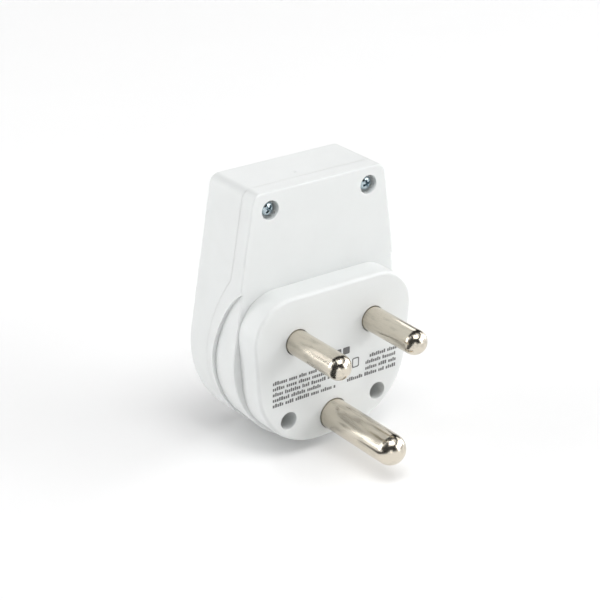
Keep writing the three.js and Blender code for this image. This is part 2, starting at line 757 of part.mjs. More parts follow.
// From the plug side of the board down to the solder tab of each line contact.
function leadSolid(side) {
  const tabX = side * linePin.x;
  const tabY = strap.rear - strap.thickness - 0.9;
  const route = [
    new THREE.Vector3(side * 15.2, onRear + 0.2, 17.6),
    new THREE.Vector3(side * 15.1, onRear + 1.3, 17.1),
    new THREE.Vector3(side * 14.4, onRear + 1.3, 13),
    new THREE.Vector3(side * 13.3, onRear + 3.2, 9.4),
    new THREE.Vector3(tabX, tabY - 0.4, 7.8),
    new THREE.Vector3(tabX, tabY, 5.2),
  ];
  return tubeAlong(new THREE.CatmullRomCurve3(route), 0.7, 8, 20);
}

node('live_lead', leadSolid(-1), materials.liveWire);
node('neutral_lead', leadSolid(1), materials.neutralWire);

// ---------------------------------------------------------------- case screws

// Pan head with a cross recess; the origin is under the head, and the shank points along -Y.
function screwSolid() {
  const { headRadius, headHeight, headRim, shankRadius, tipLength, length, slot, slotDepth } = screw;
  const dome = arc(0, 0, 1, 0, Math.PI / 2).map((p) =>
    point(headRadius * p.x, headHeight * (headRim + (1 - headRim) * p.y)));
  const body = turned([
    point(0, -length),
    point(shankRadius, -length + tipLength),
    point(shankRadius, 0),
    point(headRadius, 0),
    ...dome.slice(0, -1),
    point(0, headHeight),
  ]);
  const arms = [0, Math.PI / 2].map((turn) =>
    alongY(rectangle(0, 0, slot, 1.3 * headRadius, turn), headHeight - slotDepth, headHeight + 1));
  return cut(body, ...arms);
}

const screwPlaces = { upper: upperScrew, lower: lowerScrew };
for (const [level, { x, z, seat }] of Object.entries(screwPlaces)) {
  for (const [sideName, side] of [['left', -1], ['right', 1]]) {
    node(`${level}_${sideName}_screw`, screwSolid(), materials.zinc).position.set(side * x, seat + 0.1, z);
  }
}

export default group;
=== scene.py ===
"""Looks of the plug-in travel adaptor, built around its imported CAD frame.

Shapes are made in millimetres in the row frame (origin on the plug face midway between the two line pins,
+Y along the pins, +Z up, outlet face towards -Y) and scaled to metres when a piece is finished.
"""

import math
import random

import bmesh
import bpy
from mathutils import Matrix, Vector


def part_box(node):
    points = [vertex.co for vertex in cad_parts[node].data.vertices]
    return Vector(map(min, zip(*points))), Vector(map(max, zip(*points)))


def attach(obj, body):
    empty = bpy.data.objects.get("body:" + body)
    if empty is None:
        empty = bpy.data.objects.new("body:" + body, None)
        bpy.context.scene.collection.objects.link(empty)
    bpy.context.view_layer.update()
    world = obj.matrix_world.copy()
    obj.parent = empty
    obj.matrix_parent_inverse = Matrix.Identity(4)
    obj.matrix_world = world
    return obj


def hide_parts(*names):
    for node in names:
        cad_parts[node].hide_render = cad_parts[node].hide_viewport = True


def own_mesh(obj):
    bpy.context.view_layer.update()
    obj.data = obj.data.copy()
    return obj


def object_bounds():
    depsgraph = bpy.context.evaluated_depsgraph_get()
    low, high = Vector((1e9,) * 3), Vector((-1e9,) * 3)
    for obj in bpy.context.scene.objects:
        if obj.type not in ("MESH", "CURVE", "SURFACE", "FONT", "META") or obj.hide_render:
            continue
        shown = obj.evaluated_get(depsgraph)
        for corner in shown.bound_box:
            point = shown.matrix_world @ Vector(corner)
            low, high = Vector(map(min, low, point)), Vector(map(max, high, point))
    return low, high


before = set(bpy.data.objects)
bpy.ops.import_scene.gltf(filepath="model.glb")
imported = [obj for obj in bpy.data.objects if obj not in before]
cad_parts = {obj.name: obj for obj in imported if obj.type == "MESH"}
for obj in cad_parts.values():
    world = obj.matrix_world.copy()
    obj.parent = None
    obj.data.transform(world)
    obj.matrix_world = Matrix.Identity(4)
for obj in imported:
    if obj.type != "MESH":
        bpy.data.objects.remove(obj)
cad_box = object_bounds()

MM = 0.001  # one millimetre in metres
GAP = 0.15  # clearance between neighbouring pieces
BEYOND = 40.0  # how far a cutting tool runs past what it cuts

# ---------------------------------------------------------------- driving dimensions, in millimetres

FRONT, REAR, TOP = -28.2, -7.7, 40.9
HOUSING_RADIUS, HOUSING_CENTRE_Z = 28.5, -5.9
SIDE_LEAN = math.radians(9)
TOP_CORNER = 3.0
FRONT_EDGE, REAR_EDGE = 1.5, 0.5
FRONT_WALL, REAR_WALL, REAR_SKIRT = 2.0, 2.2, 3.6

SEAM = [(-12.5, 16.4), (-15.8, 11.6), (-19.3, 4.5), (-19.3, -6.0)]  # (y, z) of the shells' joint line
SEAM_TONGUE = 1.5
SEAM_GAP = 0.06  # what is left to see of the joint: a hairline

GATE_MARK = (2.7, -15.5)  # (x, y) on the top

GRIP_RIM_Z = 13.9
GRIP = [(REAR, GRIP_RIM_Z), (-13.4, 9.3), (-17.1, 1.0), (-17.1, -12.0)]  # (y, z) of the grip's step
GRIP_RIM = (27.9, -6.4)  # radius and centre height of the ring at its rear rim
GRIP_FOOT = (27.3, -6.8)  # and where it meets the step

BOSS_CORNERS = [(27.35, 13.2, 11.7), (23.35, -31.35, 20.4)]  # (x, z, radius) of the right half
BOSS_EDGE, BOSS_WALL, BOSS_FACE = 1.1, 2.0, 2.4

LINE_PIN_RADIUS, EARTH_PIN_RADIUS = 3.53, 4.35
PIN_CLEARANCE, PIN_FLANGE, PIN_FLANGE_THICKNESS = 0.16, 0.9, 1.5
PIN_MOUTH_EDGE = 0.08
PIN_TAIL_RADIUS, PIN_TAIL_LENGTH = 2.0, 4.6
NUT_ACROSS, NUT_HEIGHT = 7.0, 2.6

UPPER_SCREW = {"x": 16.15, "z": 35.67, "recess": 2.65, "seat": -10.4, "face": REAR}
LOWER_SCREW = {"x": 15.18, "z": -22.8, "recess": 2.55, "seat": -11.8, "face": 0.0}
SCREW_LEVELS = (UPPER_SCREW, LOWER_SCREW)
RECESS_EDGE = 0.18
HEAD_RADIUS, HEAD_HEIGHT, SHANK_RADIUS, SCREW_LENGTH = 1.95, 2.1, 1.3, 11.0
CROSS_DEPTH, CROSS_FLOOR, CROSS_MOUTH = 1.4, (0.36, 1.0), (0.76, 2.8)
POST_RADIUS, POST_SLEEVE, POST_THROUGH, POST_BORE, POST_MEET = 3.2, 4.0, 1.5, 1.45, -14.15

OUTLET_Z, POLE_X, POLE_Z, EARTH_Z = -3.96, 6.86, 3.96, -10.31
SLANT = math.radians(30)
SLOT, SLOT_CORNER, SLOT_EDGE = (2.2, 7.0), 0.25, 0.3

SHUTTER_HALF_HEIGHT, SHUTTER_TRAVEL, SHUTTER_THICKNESS = 5.2, 3.0, 2.0
SHUTTER_WINDOW, SHUTTER_WINDOW_EDGE = (2.7, 7.8), 0.25
SHUTTER_X = (-14.4, 11.4)
SHUTTER_Y = FRONT + FRONT_WALL + GAP
SHUTTER_MIDDLE_Y = SHUTTER_Y + SHUTTER_THICKNESS / 2
SPRING_STOP_X = 18.2
RAIL = 1.2  # how thick the rails above and below the shutter are

CARRIER_Y, CARRIER_THICKNESS = -23.8, 1.2
CARRIER_PEG, PEG_SHOULDER, PEG_REACH = (14.4, -10.5, 1.2), 0.8, 0.6
BOARD_Y, BOARD_THICKNESS, BOARD_GAP = -14.6, 1.6, 0.1
BOARD_FRONT_SIDE, BOARD_REAR_SIDE = BOARD_Y - BOARD_GAP, BOARD_Y + BOARD_THICKNESS + BOARD_GAP
BOARD_PEGS, BOARD_PEG_RADIUS = [(17.3, 15.6), (9.6, 34.6)], 1.2
USB_A = {"x": -8.0, "z": 27.6, "width": 13.1, "height": 5.7, "wall": 0.35, "corner": 0.5}
USB_C = {"x": 9.5, "z": 27.6, "width": 8.94, "height": 3.26, "wall": 0.3, "corner": 1.55}
USB_FRONT, USB_WINDOW, USB_WINDOW_EDGE = -27.4, 0.35, 0.3

CAPACITORS = {"input_capacitor": (4.0, 10.6), "output_capacitor": (3.15, 8.6)}  # radius, height
RESISTOR_RADIUS, RESISTOR_LENGTH, RESISTOR_SPAN, RESISTOR_RISE, WIRE_RADIUS = 1.7, 7.0, 9.0, 2.6, 0.35
CHOKE_FLANGE, CHOKE_CORE, CHOKE_HEIGHT = 2.5, 1.9, 6.0
LEAD_RADIUS, STRAND_RADIUS, LEAD_JOINT, LEAD_TAB_Y = 0.7, 0.4, (15.2, 17.6), -5.95

INK_DEPTH, INK_HEIGHT = 0.01, 0.012  # how far the print reaches below and above the plug face


# ---------------------------------------------------------------- outlines, as lists of (x, z)

def arc(cx, cz, radius, start, end, steps):
    angles = [start + (end - start) * i / steps for i in range(steps + 1)]
    return [(cx + radius * math.cos(a), cz + radius * math.sin(a)) for a in angles]


def circle(cx, cz, radius, steps=64):
    return arc(cx, cz, radius, 0, 2 * math.pi, steps)[:-1]


def rounded_polygon(corners, steps=12):
    """Corners are (x, z, radius), counter-clockwise."""
    points = []
    for i, (x, z, radius) in enumerate(corners):
        here = Vector((x, z))
        before = (Vector(corners[i - 1][:2]) - here).normalized()
        after = (Vector(corners[(i + 1) % len(corners)][:2]) - here).normalized()
        half = math.acos(max(-1.0, min(1.0, before.dot(after)))) / 2
        bisector = (before + after).normalized()
        centre = here + bisector * radius / math.sin(half)
        start = math.atan2(-bisector.y, -bisector.x) - (math.pi / 2 - half)
        points += arc(centre.x, centre.y, radius, start, start + math.pi - 2 * half, steps)
    return points


def rectangle(cx, cz, width, height, radius=0.05, turn=0.0, steps=4):
    half_x, half_z = width / 2, height / 2
    signs = [(-1, -1), (1, -1), (1, 1), (-1, 1)]
    flat = rounded_polygon([(sx * half_x, sz * half_z, radius) for sx, sz in signs], steps)
    c, s = math.cos(turn), math.sin(turn)
    return [(cx + x * c - z * s, cz + x * s + z * c) for x, z in flat]


def housing_outline(inset, radius=HOUSING_RADIUS, centre_z=HOUSING_CENTRE_Z):
    """Round below, sides leaning in, flat top with rounded corners."""
    big = radius - inset
    corner = max(TOP_CORNER - inset, 0.6)
    corner_z = TOP - inset - corner
    corner_x = (big - corner - (corner_z - centre_z) * math.sin(SIDE_LEAN)) / math.cos(SIDE_LEAN)
    return (
        arc(corner_x, corner_z, corner, SIDE_LEAN, math.pi / 2, 14)
        + arc(-corner_x, corner_z, corner, math.pi / 2, math.pi - SIDE_LEAN, 14)
        + arc(0, centre_z, big, math.pi - SIDE_LEAN, 2 * math.pi + SIDE_LEAN, 150)
    )


def boss_outline(inset):
    moved = [(x - inset, z - math.copysign(inset, z), r - inset) for x, z, r in BOSS_CORNERS]
    upper, lower = moved
    left = [(-x, z, r) for x, z, r in moved]
    return rounded_polygon([left[1], lower, upper, left[0]], 36)


def bezier(points, steps):
    a, b, c, d = [Vector(p) for p in points]
    made = []
    for i in range(steps + 1):
        t = i / steps
        s = 1 - t
        made.append(tuple(a * s**3 + b * 3 * s * s * t + c * 3 * s * t * t + d * t**3))
    return made


def area_behind(side_profile, shift=0.0):
    """(y, z) outline of all that lies behind a profile: straight, one curve, straight again."""
    curve = [(y + shift, z) for y, z in bezier(side_profile, 60)]
    top, bottom = (curve[0][0], BEYOND + 10), (curve[-1][0], -BEYOND)
    return [top, *curve, bottom, (BEYOND, -BEYOND), (BEYOND, BEYOND + 10)]


# ---------------------------------------------------------------- solids

def as_object(bm, name="tool"):
    bmesh.ops.recalc_face_normals(bm, faces=bm.faces)
    mesh = bpy.data.meshes.new(name)
    bm.to_mesh(mesh)
    bm.free()
    made = bpy.data.objects.new(name, mesh)
    bpy.context.scene.collection.objects.link(made)
    return made


def layered(layers):
    """A closed solid through outlines of equal length, as (y, outline) from one end to the other."""
    bm = bmesh.new()
    rings = [[bm.verts.new((x, y, z)) for x, z in outline] for y, outline in layers]
    for near, far in zip(rings, rings[1:]):
        for i in range(len(near)):
            bm.faces.new((near[i - 1], near[i], far[i], far[i - 1]))
    bm.faces.new(rings[0])
    bm.faces.new(rings[-1])
    return as_object(bm)


def prism(outline, y0, y1):
    return layered([(y0, outline), (y1, outline)])


def rod(x, z, radius, y0, y1, steps=64):
    return prism(circle(x, z, radius, steps), y0, y1)


def box(x0, x1, y0, y1, z0, z1):
    return prism([(x0, z0), (x1, z0), (x1, z1), (x0, z1)], y0, y1)


def quarter(radius, steps):
    """(depth below the end, sideways step) pairs of a quarter round, from the wall to the end."""
    angles = [math.pi / 2 * i / steps for i in range(steps + 1)]
    return [(radius * (1 - math.sin(t)), radius * (1 - math.cos(t))) for t in angles]


def rounded_prism(outline_at, y0, y1, round0, round1, steps=6):
    """outline_at(inset) extruded between y0 and y1, with its end edges rounded."""
    near = [(y0 + depth, outline_at(side)) for depth, side in reversed(quarter(round0, steps))]
    far = [(y1 - depth, outline_at(side)) for depth, side in quarter(round1, steps)]
    return layered(near + far)


def flared_hole(outline_at, deep_y, surface_y, rim, steps=4):
    """A cutter for a hole whose edge at the surface is rounded. outline_at takes how far it has grown."""
    sign = math.copysign(1, surface_y - deep_y)
    edge = [(surface_y - sign * depth, outline_at(side)) for depth, side in quarter(rim, steps)]
    return layered([(deep_y, outline_at(0)), *edge, (surface_y + sign * 3, outline_at(rim))])


def across_x(profile):
    """A cutter of one (y, z) section right across the housing."""
    bm = bmesh.new()
    rings = [[bm.verts.new((x, y, z)) for y, z in profile] for x in (-BEYOND, BEYOND)]
    for i in range(len(profile)):
        bm.faces.new((rings[0][i - 1], rings[0][i], rings[1][i], rings[1][i - 1]))
    for ring in rings:
        bm.faces.new(ring)
    return as_object(bm)


def turned(profile, sides=96, ripple=None):
    """(radius, y) points from the axis round to the axis, turned about Y. ripple adds to the radius."""
    bm = bmesh.new()
    first, last = profile[0][1], profile[-1][1]
    start, end = bm.verts.new((0, first, 0)), bm.verts.new((0, last, 0))
    rings = []
    for radius, y in profile[1:-1]:
        ring = []
        for i in range(sides):
            angle = 2 * math.pi * i / sides
            r = radius + (ripple(angle, y) if ripple else 0.0)
            ring.append(bm.verts.new((r * math.cos(angle), y, r * math.sin(angle))))
        rings.append(ring)
    for near, far in zip(rings, rings[1:]):
        for i in range(sides):
            bm.faces.new((near[i - 1], near[i], far[i], far[i - 1]))
    for i in range(sides):
        bm.faces.new((start, rings[0][i], rings[0][i - 1]))
        bm.faces.new((end, rings[-1][i - 1], rings[-1][i]))
    return as_object(bm)


def tube(path, radius, sides=16):
    """A closed round tube along points given in millimetres."""
    points = [Vector(p) for p in path]
    bm = bmesh.new()
    rings = []
    side = None
    for i, p in enumerate(points):
        tangent = (points[min(i + 1, len(points) - 1)] - points[max(i - 1, 0)]).normalized()
        if side is None:
            side = tangent.orthogonal().normalized()
        side = (side - tangent * side.dot(tangent)).normalized()
        other = tangent.cross(side)
        turns = [2 * math.pi * k / sides for k in range(sides)]
        spokes = [side * math.cos(t) + other * math.sin(t) for t in turns]
        rings.append([bm.verts.new(p + spoke * radius) for spoke in spokes])
    for near, far in zip(rings, rings[1:]):
        for k in range(sides):
            bm.faces.new((near[k - 1], near[k], far[k], far[k - 1]))
    bm.faces.new(rings[0])
    bm.faces.new(rings[-1])
    return as_object(bm)


def combine(base, operation, tools):
    for tool in tools:
        modifier = base.modifiers.new("boolean", "BOOLEAN")
        modifier.operation = operation
        modifier.solver = "MANIFOLD"
        modifier.object = tool
    graph = bpy.context.evaluated_depsgraph_get()
    mesh = bpy.data.meshes.new_from_object(base.evaluated_get(graph))
    base.modifiers.clear()
    base.data = mesh
    for tool in tools:
        bpy.data.objects.remove(tool)
    return base


def join(base, *tools):
    return combine(base, "UNION", tools)


def cut(base, *tools):
    return combine(base, "DIFFERENCE", tools)


def common(base, *tools):
    return combine(base, "INTERSECT", tools)


def both_sides(x, make):
    return [make(-x), make(x)]


def merged(objects):
    """Several closed solids as one object, without joining their surfaces."""
    bm = bmesh.new()
    for part in objects:
        bm.from_mesh(part.data)
        bpy.data.objects.remove(part)
    return as_object(bm)


WELD, FLAT = 0.002, 0.2  # closest two points may be, in millimetres, and a bend taken as flat, in degrees


def finish(
    piece, name, material, stands_for=(), place=(0, 0, 0), sharp=32.0, clean=True, body="housing",
):
    """Names a piece, puts it in place in metres, smooths it, and ties it to the frame."""
    mesh = piece.data
    mesh.transform(Matrix.Scale(MM, 4) @ Matrix.Translation(place))
    if clean:
        bm = bmesh.new()
        bm.from_mesh(mesh)
        bmesh.ops.remove_doubles(bm, verts=bm.verts, dist=WELD * MM)
        bmesh.ops.dissolve_limit(bm, angle_limit=math.radians(FLAT), verts=bm.verts, edges=bm.edges)
        bm.to_mesh(mesh)
        bm.free()
    for face in mesh.polygons:
        face.use_smooth = True
    mesh.set_sharp_from_angle(angle=math.radians(sharp))
    weighted = piece.modifiers.new("even shading", "WEIGHTED_NORMAL")
    weighted.keep_sharp = True
    weighted.mode = "FACE_AREA_WITH_ANGLE"
    piece.name = mesh.name = name
    mesh.materials.clear()
    mesh.materials.append(material)
    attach(piece, body)
    if stands_for:
        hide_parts(*stands_for)
    return piece


# ---------------------------------------------------------------- materials

class Look:
    """A Principled material with helpers that hang procedural detail on it."""

    def __init__(self, name, **values):
        self.material = bpy.data.materials.new(name)
        self.material.use_nodes = True
        self.tree = self.material.node_tree
        self.shader = self.tree.nodes["Principled BSDF"]
        for socket, value in values.items():
            self.shader.inputs[socket.replace("_", " ")].default_value = value
        self.coordinates = self.node("ShaderNodeTexCoord").outputs["Object"]

    def node(self, kind, **settings):
        made = self.tree.nodes.new(kind)
        for key, value in settings.items():
            setattr(made, key, value)
        return made

    def link(self, source, target):
        self.tree.links.new(source, target)

    def stretched(self, x, y, z):
        """The object's coordinates, drawn out along an axis whose factor is small."""
        mapping = self.node("ShaderNodeMapping")
        mapping.inputs["Scale"].default_value = (x, y, z)
        self.link(self.coordinates, mapping.inputs["Vector"])
        return mapping.outputs["Vector"]

    def noise(self, size_mm, detail=2.0, roughness=0.5, vector=None):
        """Noise whose features are about size_mm across."""
        made = self.node("ShaderNodeTexNoise")
        made.inputs["Scale"].default_value = 1.0 / (size_mm * MM)
        made.inputs["Detail"].default_value = detail
        made.inputs["Roughness"].default_value = roughness
        self.link(vector or self.coordinates, made.inputs["Vector"])
        return made.outputs["Fac"]

    def remap(self, value, low, high, from_low=0.0, from_high=1.0):
        made = self.node("ShaderNodeMapRange")
        made.inputs["From Min"].default_value = from_low
        made.inputs["From Max"].default_value = from_high
        made.inputs["To Min"].default_value = low
        made.inputs["To Max"].default_value = high
        self.link(value, made.inputs["Value"])
        return made.outputs["Result"]

    def colour(self, value, stops):
        """Base colour from a value through (position, colour) stops."""
        node = self.node("ShaderNodeValToRGB")
        elements = node.color_ramp.elements
        while len(elements) < len(stops):
            elements.new(0.5)
        for element, (position, shade) in zip(elements, stops):
            element.position = position
            element.color = (*shade, 1.0)
        self.link(value, node.inputs["Fac"])
        self.link(node.outputs["Color"], self.shader.inputs["Base Color"])
        return self

    def rough(self, value, low, high):
        self.link(self.remap(value, low, high), self.shader.inputs["Roughness"])
        return self

    def bump(self, height, depth_mm):
        made = self.node("ShaderNodeBump")
        made.inputs["Distance"].default_value = depth_mm * MM
        self.link(height, made.inputs["Height"])
        self.link(made.outputs["Normal"], self.shader.inputs["Normal"])
        return self


def around(shade, spread):
    """Two shades a little below and above one."""
    darker = tuple(c * (1 - spread) for c in shade)
    lighter = tuple(min(1.0, c * (1 + spread)) for c in shade)
    return [(0.3, darker), (0.7, lighter)]


def plastic(name, shade, roughness, grain_mm=0.22, grain_depth=0.004, spread=0.012, translucent=0.0):
    """Moulded plastic: fine eroded grain, slow drifts in gloss and tone, some light passing through."""
    look = Look(
        name, IOR=1.5, Subsurface_Weight=translucent, Subsurface_Radius=(1.0, 1.0, 1.0),
        Subsurface_Scale=1.2 * MM)
    look.colour(look.noise(9.0, 3.0), around(shade, spread))
    look.rough(look.noise(1.6, 4.0, 0.6), roughness - 0.05, roughness + 0.06)
    return look.bump(look.noise(grain_mm, 3.0, 0.6), grain_depth).material


def metal(name, shade, roughness, grain=(1.0, 1.0, 1.0), grain_mm=0.3, depth=0.001):
    """Bare or plated metal: fine marks drawn out along the axis whose factor is small."""
    look = Look(name, Metallic=1.0)
    marks = look.noise(grain_mm, 4.0, 0.65, look.stretched(*grain))
    look.colour(look.noise(2.4, 3.0), around(shade, 0.05))
    look.rough(marks, roughness * 0.75, roughness * 1.35)
    return look.bump(marks, depth).material


def plated(name, shade, roughness):
    """Bright plating: faintly pebbled, cloudy in gloss, with darker streaks drawn out along the pin and a
    few fine pits.
    """
    look = Look(name, Metallic=1.0)
    clear_of_pits = look.remap(look.noise(0.28, 2.0, 0.5), 1.0, 0.0, 0.66, 0.74)
    # The base colour is darker in streaks drawn out along Y, where this stretched noise is low; clean is
    # high where there is no streak.
    clean = look.remap(look.noise(2.2, 3.0, 0.55, look.stretched(1.0, 0.22, 1.0)), 0.35, 1.0, 0.36, 0.5)
    both = look.node("ShaderNodeMath", operation="MULTIPLY")
    look.link(clear_of_pits, both.inputs[0])
    look.link(clean, both.inputs[1])
    # dark is the colour in the pits, and the second shade is the colour in the darker streaks.
    dark, streaked = (tuple(c * share for c in shade) for share in (0.45, 0.8))
    look.colour(both.outputs["Value"], [(0.0, dark), (0.35, streaked), (1.0, shade)])
    look.rough(look.noise(1.3, 4.0, 0.6), roughness * 0.8, roughness * 1.3)
    return look.bump(look.noise(0.55, 3.0, 0.6), 0.006).material


white_plastic = plastic("white_plastic", (0.72, 0.735, 0.73), 0.36, translucent=0.5)
shutter_plastic = plastic("shutter_plastic", (0.71, 0.72, 0.73), 0.42)
insulator_plastic = plastic("insulator_plastic", (0.66, 0.64, 0.58), 0.5, 0.3, 0.006)
tongue_plastic = plastic("tongue_plastic", (0.016, 0.017, 0.019), 0.45)
chip_epoxy = plastic("chip_epoxy", (0.013, 0.013, 0.014), 0.55, 0.06, 0.004, 0.15)
nickel = plated("nickel_plate", (0.70, 0.645, 0.55), 0.19)
zinc = metal("zinc_plate", (0.44, 0.52, 0.56), 0.2, (1.0, 4.0, 1.0), 0.4, 0.003)
brass = metal("contact_brass", (0.72, 0.53, 0.24), 0.3, (1.0, 0.12, 1.0), 0.35, 0.0015)
spring_wire = metal("spring_wire", (0.50, 0.51, 0.53), 0.25)
port_steel = metal("port_steel", (0.60, 0.61, 0.62), 0.24, (1.0, 0.15, 1.0), 0.25, 0.001)
gold_flash = metal("gold_flash", (0.83, 0.60, 0.22), 0.2)
tin = metal("tinned_lead", (0.62, 0.62, 0.60), 0.34)
can_aluminium = metal("can_aluminium", (0.66, 0.67, 0.68), 0.33)
enamelled_copper = metal("enamelled_copper", (0.62, 0.24, 0.09), 0.28)


def ferrite_material():
    look = Look("ferrite")
    grain = look.noise(0.35, 5.0, 0.7)
    look.colour(grain, [(0.35, (0.020, 0.020, 0.022)), (0.75, (0.055, 0.054, 0.056))])
    look.rough(look.noise(0.5, 3.0), 0.55, 0.8)
    return look.bump(look.noise(0.12, 4.0, 0.7), 0.02).material


def tape_material():
    """Polyester tape wound round the coil: thin overlapping turns."""
    look = Look("winding_tape", Specular_IOR_Level=0.6)
    wave = look.node("ShaderNodeTexWave", bands_direction="Y")
    wave.inputs["Scale"].default_value = 1.0 / (3.2 * MM)
    wave.inputs["Distortion"].default_value = 0.4
    look.link(look.coordinates, wave.inputs["Vector"])
    look.colour(wave.outputs["Fac"], [(0.1, (0.56, 0.36, 0.03)), (0.8, (0.72, 0.50, 0.06))])
    look.rough(look.noise(0.8, 3.0), 0.3, 0.5)
    return look.bump(wave.outputs["Fac"], 0.03).material


def laminate_material():
    """Green solder mask over copper areas, which show raised and lighter between etched gaps."""
    look = Look("board_laminate", Specular_IOR_Level=0.55)
    facing = look.node("ShaderNodeMapping")
    facing.inputs["Rotation"].default_value = (-math.pi / 2, 0, 0)
    look.link(look.coordinates, facing.inputs["Vector"])
    areas = look.node("ShaderNodeTexBrick", offset=0.37, squash=1.6, squash_frequency=3)
    sizes = {"Brick Width": 6.4, "Row Height": 2.3, "Mortar Size": 0.22, "Mortar Smooth": 0.3}
    for socket, value in {"Scale": 1.0 / MM, **sizes}.items():
        areas.inputs[socket].default_value = value
    look.link(facing.outputs["Vector"], areas.inputs["Vector"])
    lanes = look.remap(areas.outputs["Fac"], 1.0, 0.0)
    look.colour(lanes, [(0.0, (0.008, 0.085, 0.035)), (1.0, (0.014, 0.150, 0.055))])
    look.rough(look.noise(0.7, 3.0), 0.28, 0.42)
    return look.bump(lanes, 0.03).material


def sleeve_material():
    """Shrink sleeve of a capacitor: dark, with the pale stripe that marks the negative side."""
    look = Look("capacitor_sleeve")
    parts = look.node("ShaderNodeSeparateXYZ")
    look.link(look.node("ShaderNodeTexCoord").outputs["Normal"], parts.inputs["Vector"])
    sleeve, stripe = (0.012, 0.026, 0.070), (0.42, 0.44, 0.48)
    look.colour(parts.outputs["Z"], [(0.0, sleeve), (0.9, sleeve), (0.91, stripe), (1.0, stripe)])
    look.rough(look.noise(0.9, 3.0), 0.24, 0.4)
    return look.bump(look.noise(1.4, 2.0), 0.02).material


def resistor_material():
    """Flameproof coating with its colour bands across the body."""
    look = Look("resistor_coat")
    parts = look.node("ShaderNodeSeparateXYZ")
    look.link(look.coordinates, parts.inputs["Vector"])
    low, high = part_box("fusible_resistor")
    middle, half = (low.x + high.x) / 2, RESISTOR_LENGTH / 2 * MM
    along = look.remap(parts.outputs["X"], 0.0, 1.0, middle - half, middle + half)
    body = (0.10, 0.24, 0.22)
    bands = [(0.05, 0.02, 0.01), (0.01, 0.01, 0.01), (0.55, 0.42, 0.02), (0.6, 0.45, 0.2)]
    stops = [(0.0, body)]
    for i, band in enumerate(bands):
        stops += [(0.2 + 0.16 * i, band), (0.27 + 0.16 * i, body)]
    look.colour(along, stops)
    look.tree.nodes["Color Ramp"].color_ramp.interpolation = "CONSTANT"
    look.rough(look.noise(0.6, 3.0), 0.45, 0.65)
    return look.bump(look.noise(0.25, 4.0, 0.6), 0.02).material


def wire_material(name, shade):
    look = Look(name)
    look.colour(look.noise(1.5, 3.0), around(shade, 0.08))
    look.rough(look.noise(0.5, 3.0), 0.35, 0.5)
    return look.bump(look.noise(0.3, 3.0), 0.008).material


def ink_material():
    look = Look("grey_ink")
    look.colour(look.noise(0.5, 4.0, 0.6), [(0.2, (0.10, 0.10, 0.10)), (0.8, (0.17, 0.17, 0.17))])
    look.rough(look.noise(0.3, 3.0), 0.45, 0.6)
    return look.bump(look.noise(0.15, 2.0), 0.003).material


ferrite = ferrite_material()
winding_tape = tape_material()
board_laminate = laminate_material()
capacitor_sleeve = sleeve_material()
resistor_coat = resistor_material()
live_insulation = wire_material("live_insulation", (0.20, 0.07, 0.025))
neutral_insulation = wire_material("neutral_insulation", (0.03, 0.11, 0.38))
ink = ink_material()


# ---------------------------------------------------------------- housing

def seam_area(shift):
    return across_x(area_behind(SEAM, shift))


def grip_cutter():
    """What is taken off the rear shell behind the grip's step, leaving a ring that widens to its rim."""
    rim_radius, rim_z = GRIP_RIM
    foot_radius, foot_z = GRIP_FOOT
    shrink = foot_radius / rim_radius

    def rim(inset):
        return housing_outline(inset, rim_radius, rim_z)

    foot = [(x * shrink, foot_z + (z - rim_z) * shrink) for x, z in rim(0)]
    ends = [(REAR - depth, rim(side)) for depth, side in quarter(REAR_EDGE, 5)]
    foot_y = GRIP[-1][0]
    ring = layered([(foot_y, foot), *ends])
    boss = prism(boss_outline(-0.05), REAR - 1, BEYOND)
    below = box(-BEYOND, BEYOND, foot_y - 1, REAR + BEYOND, -BEYOND, GRIP_RIM_Z)
    return cut(common(across_x(area_behind(GRIP)), below), ring, boss)


def recess(screw, x):
    """Cutter for the round recess in which a case screw sits."""
    def outline(grow):
        return circle(x, screw["z"], screw["recess"] + grow)

    return flared_hole(outline, screw["seat"], screw["face"], RECESS_EDGE)


PIN_RADII = {"live": LINE_PIN_RADIUS, "neutral": LINE_PIN_RADIUS, "earth": EARTH_PIN_RADIUS}
poles = {}
for pole, radius in PIN_RADII.items():
    low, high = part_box(f"{pole}_pin")
    middle = (low + high) / (2 * MM)
    poles[pole] = {"x": middle.x, "z": middle.z, "radius": radius, "length": high.y / MM}


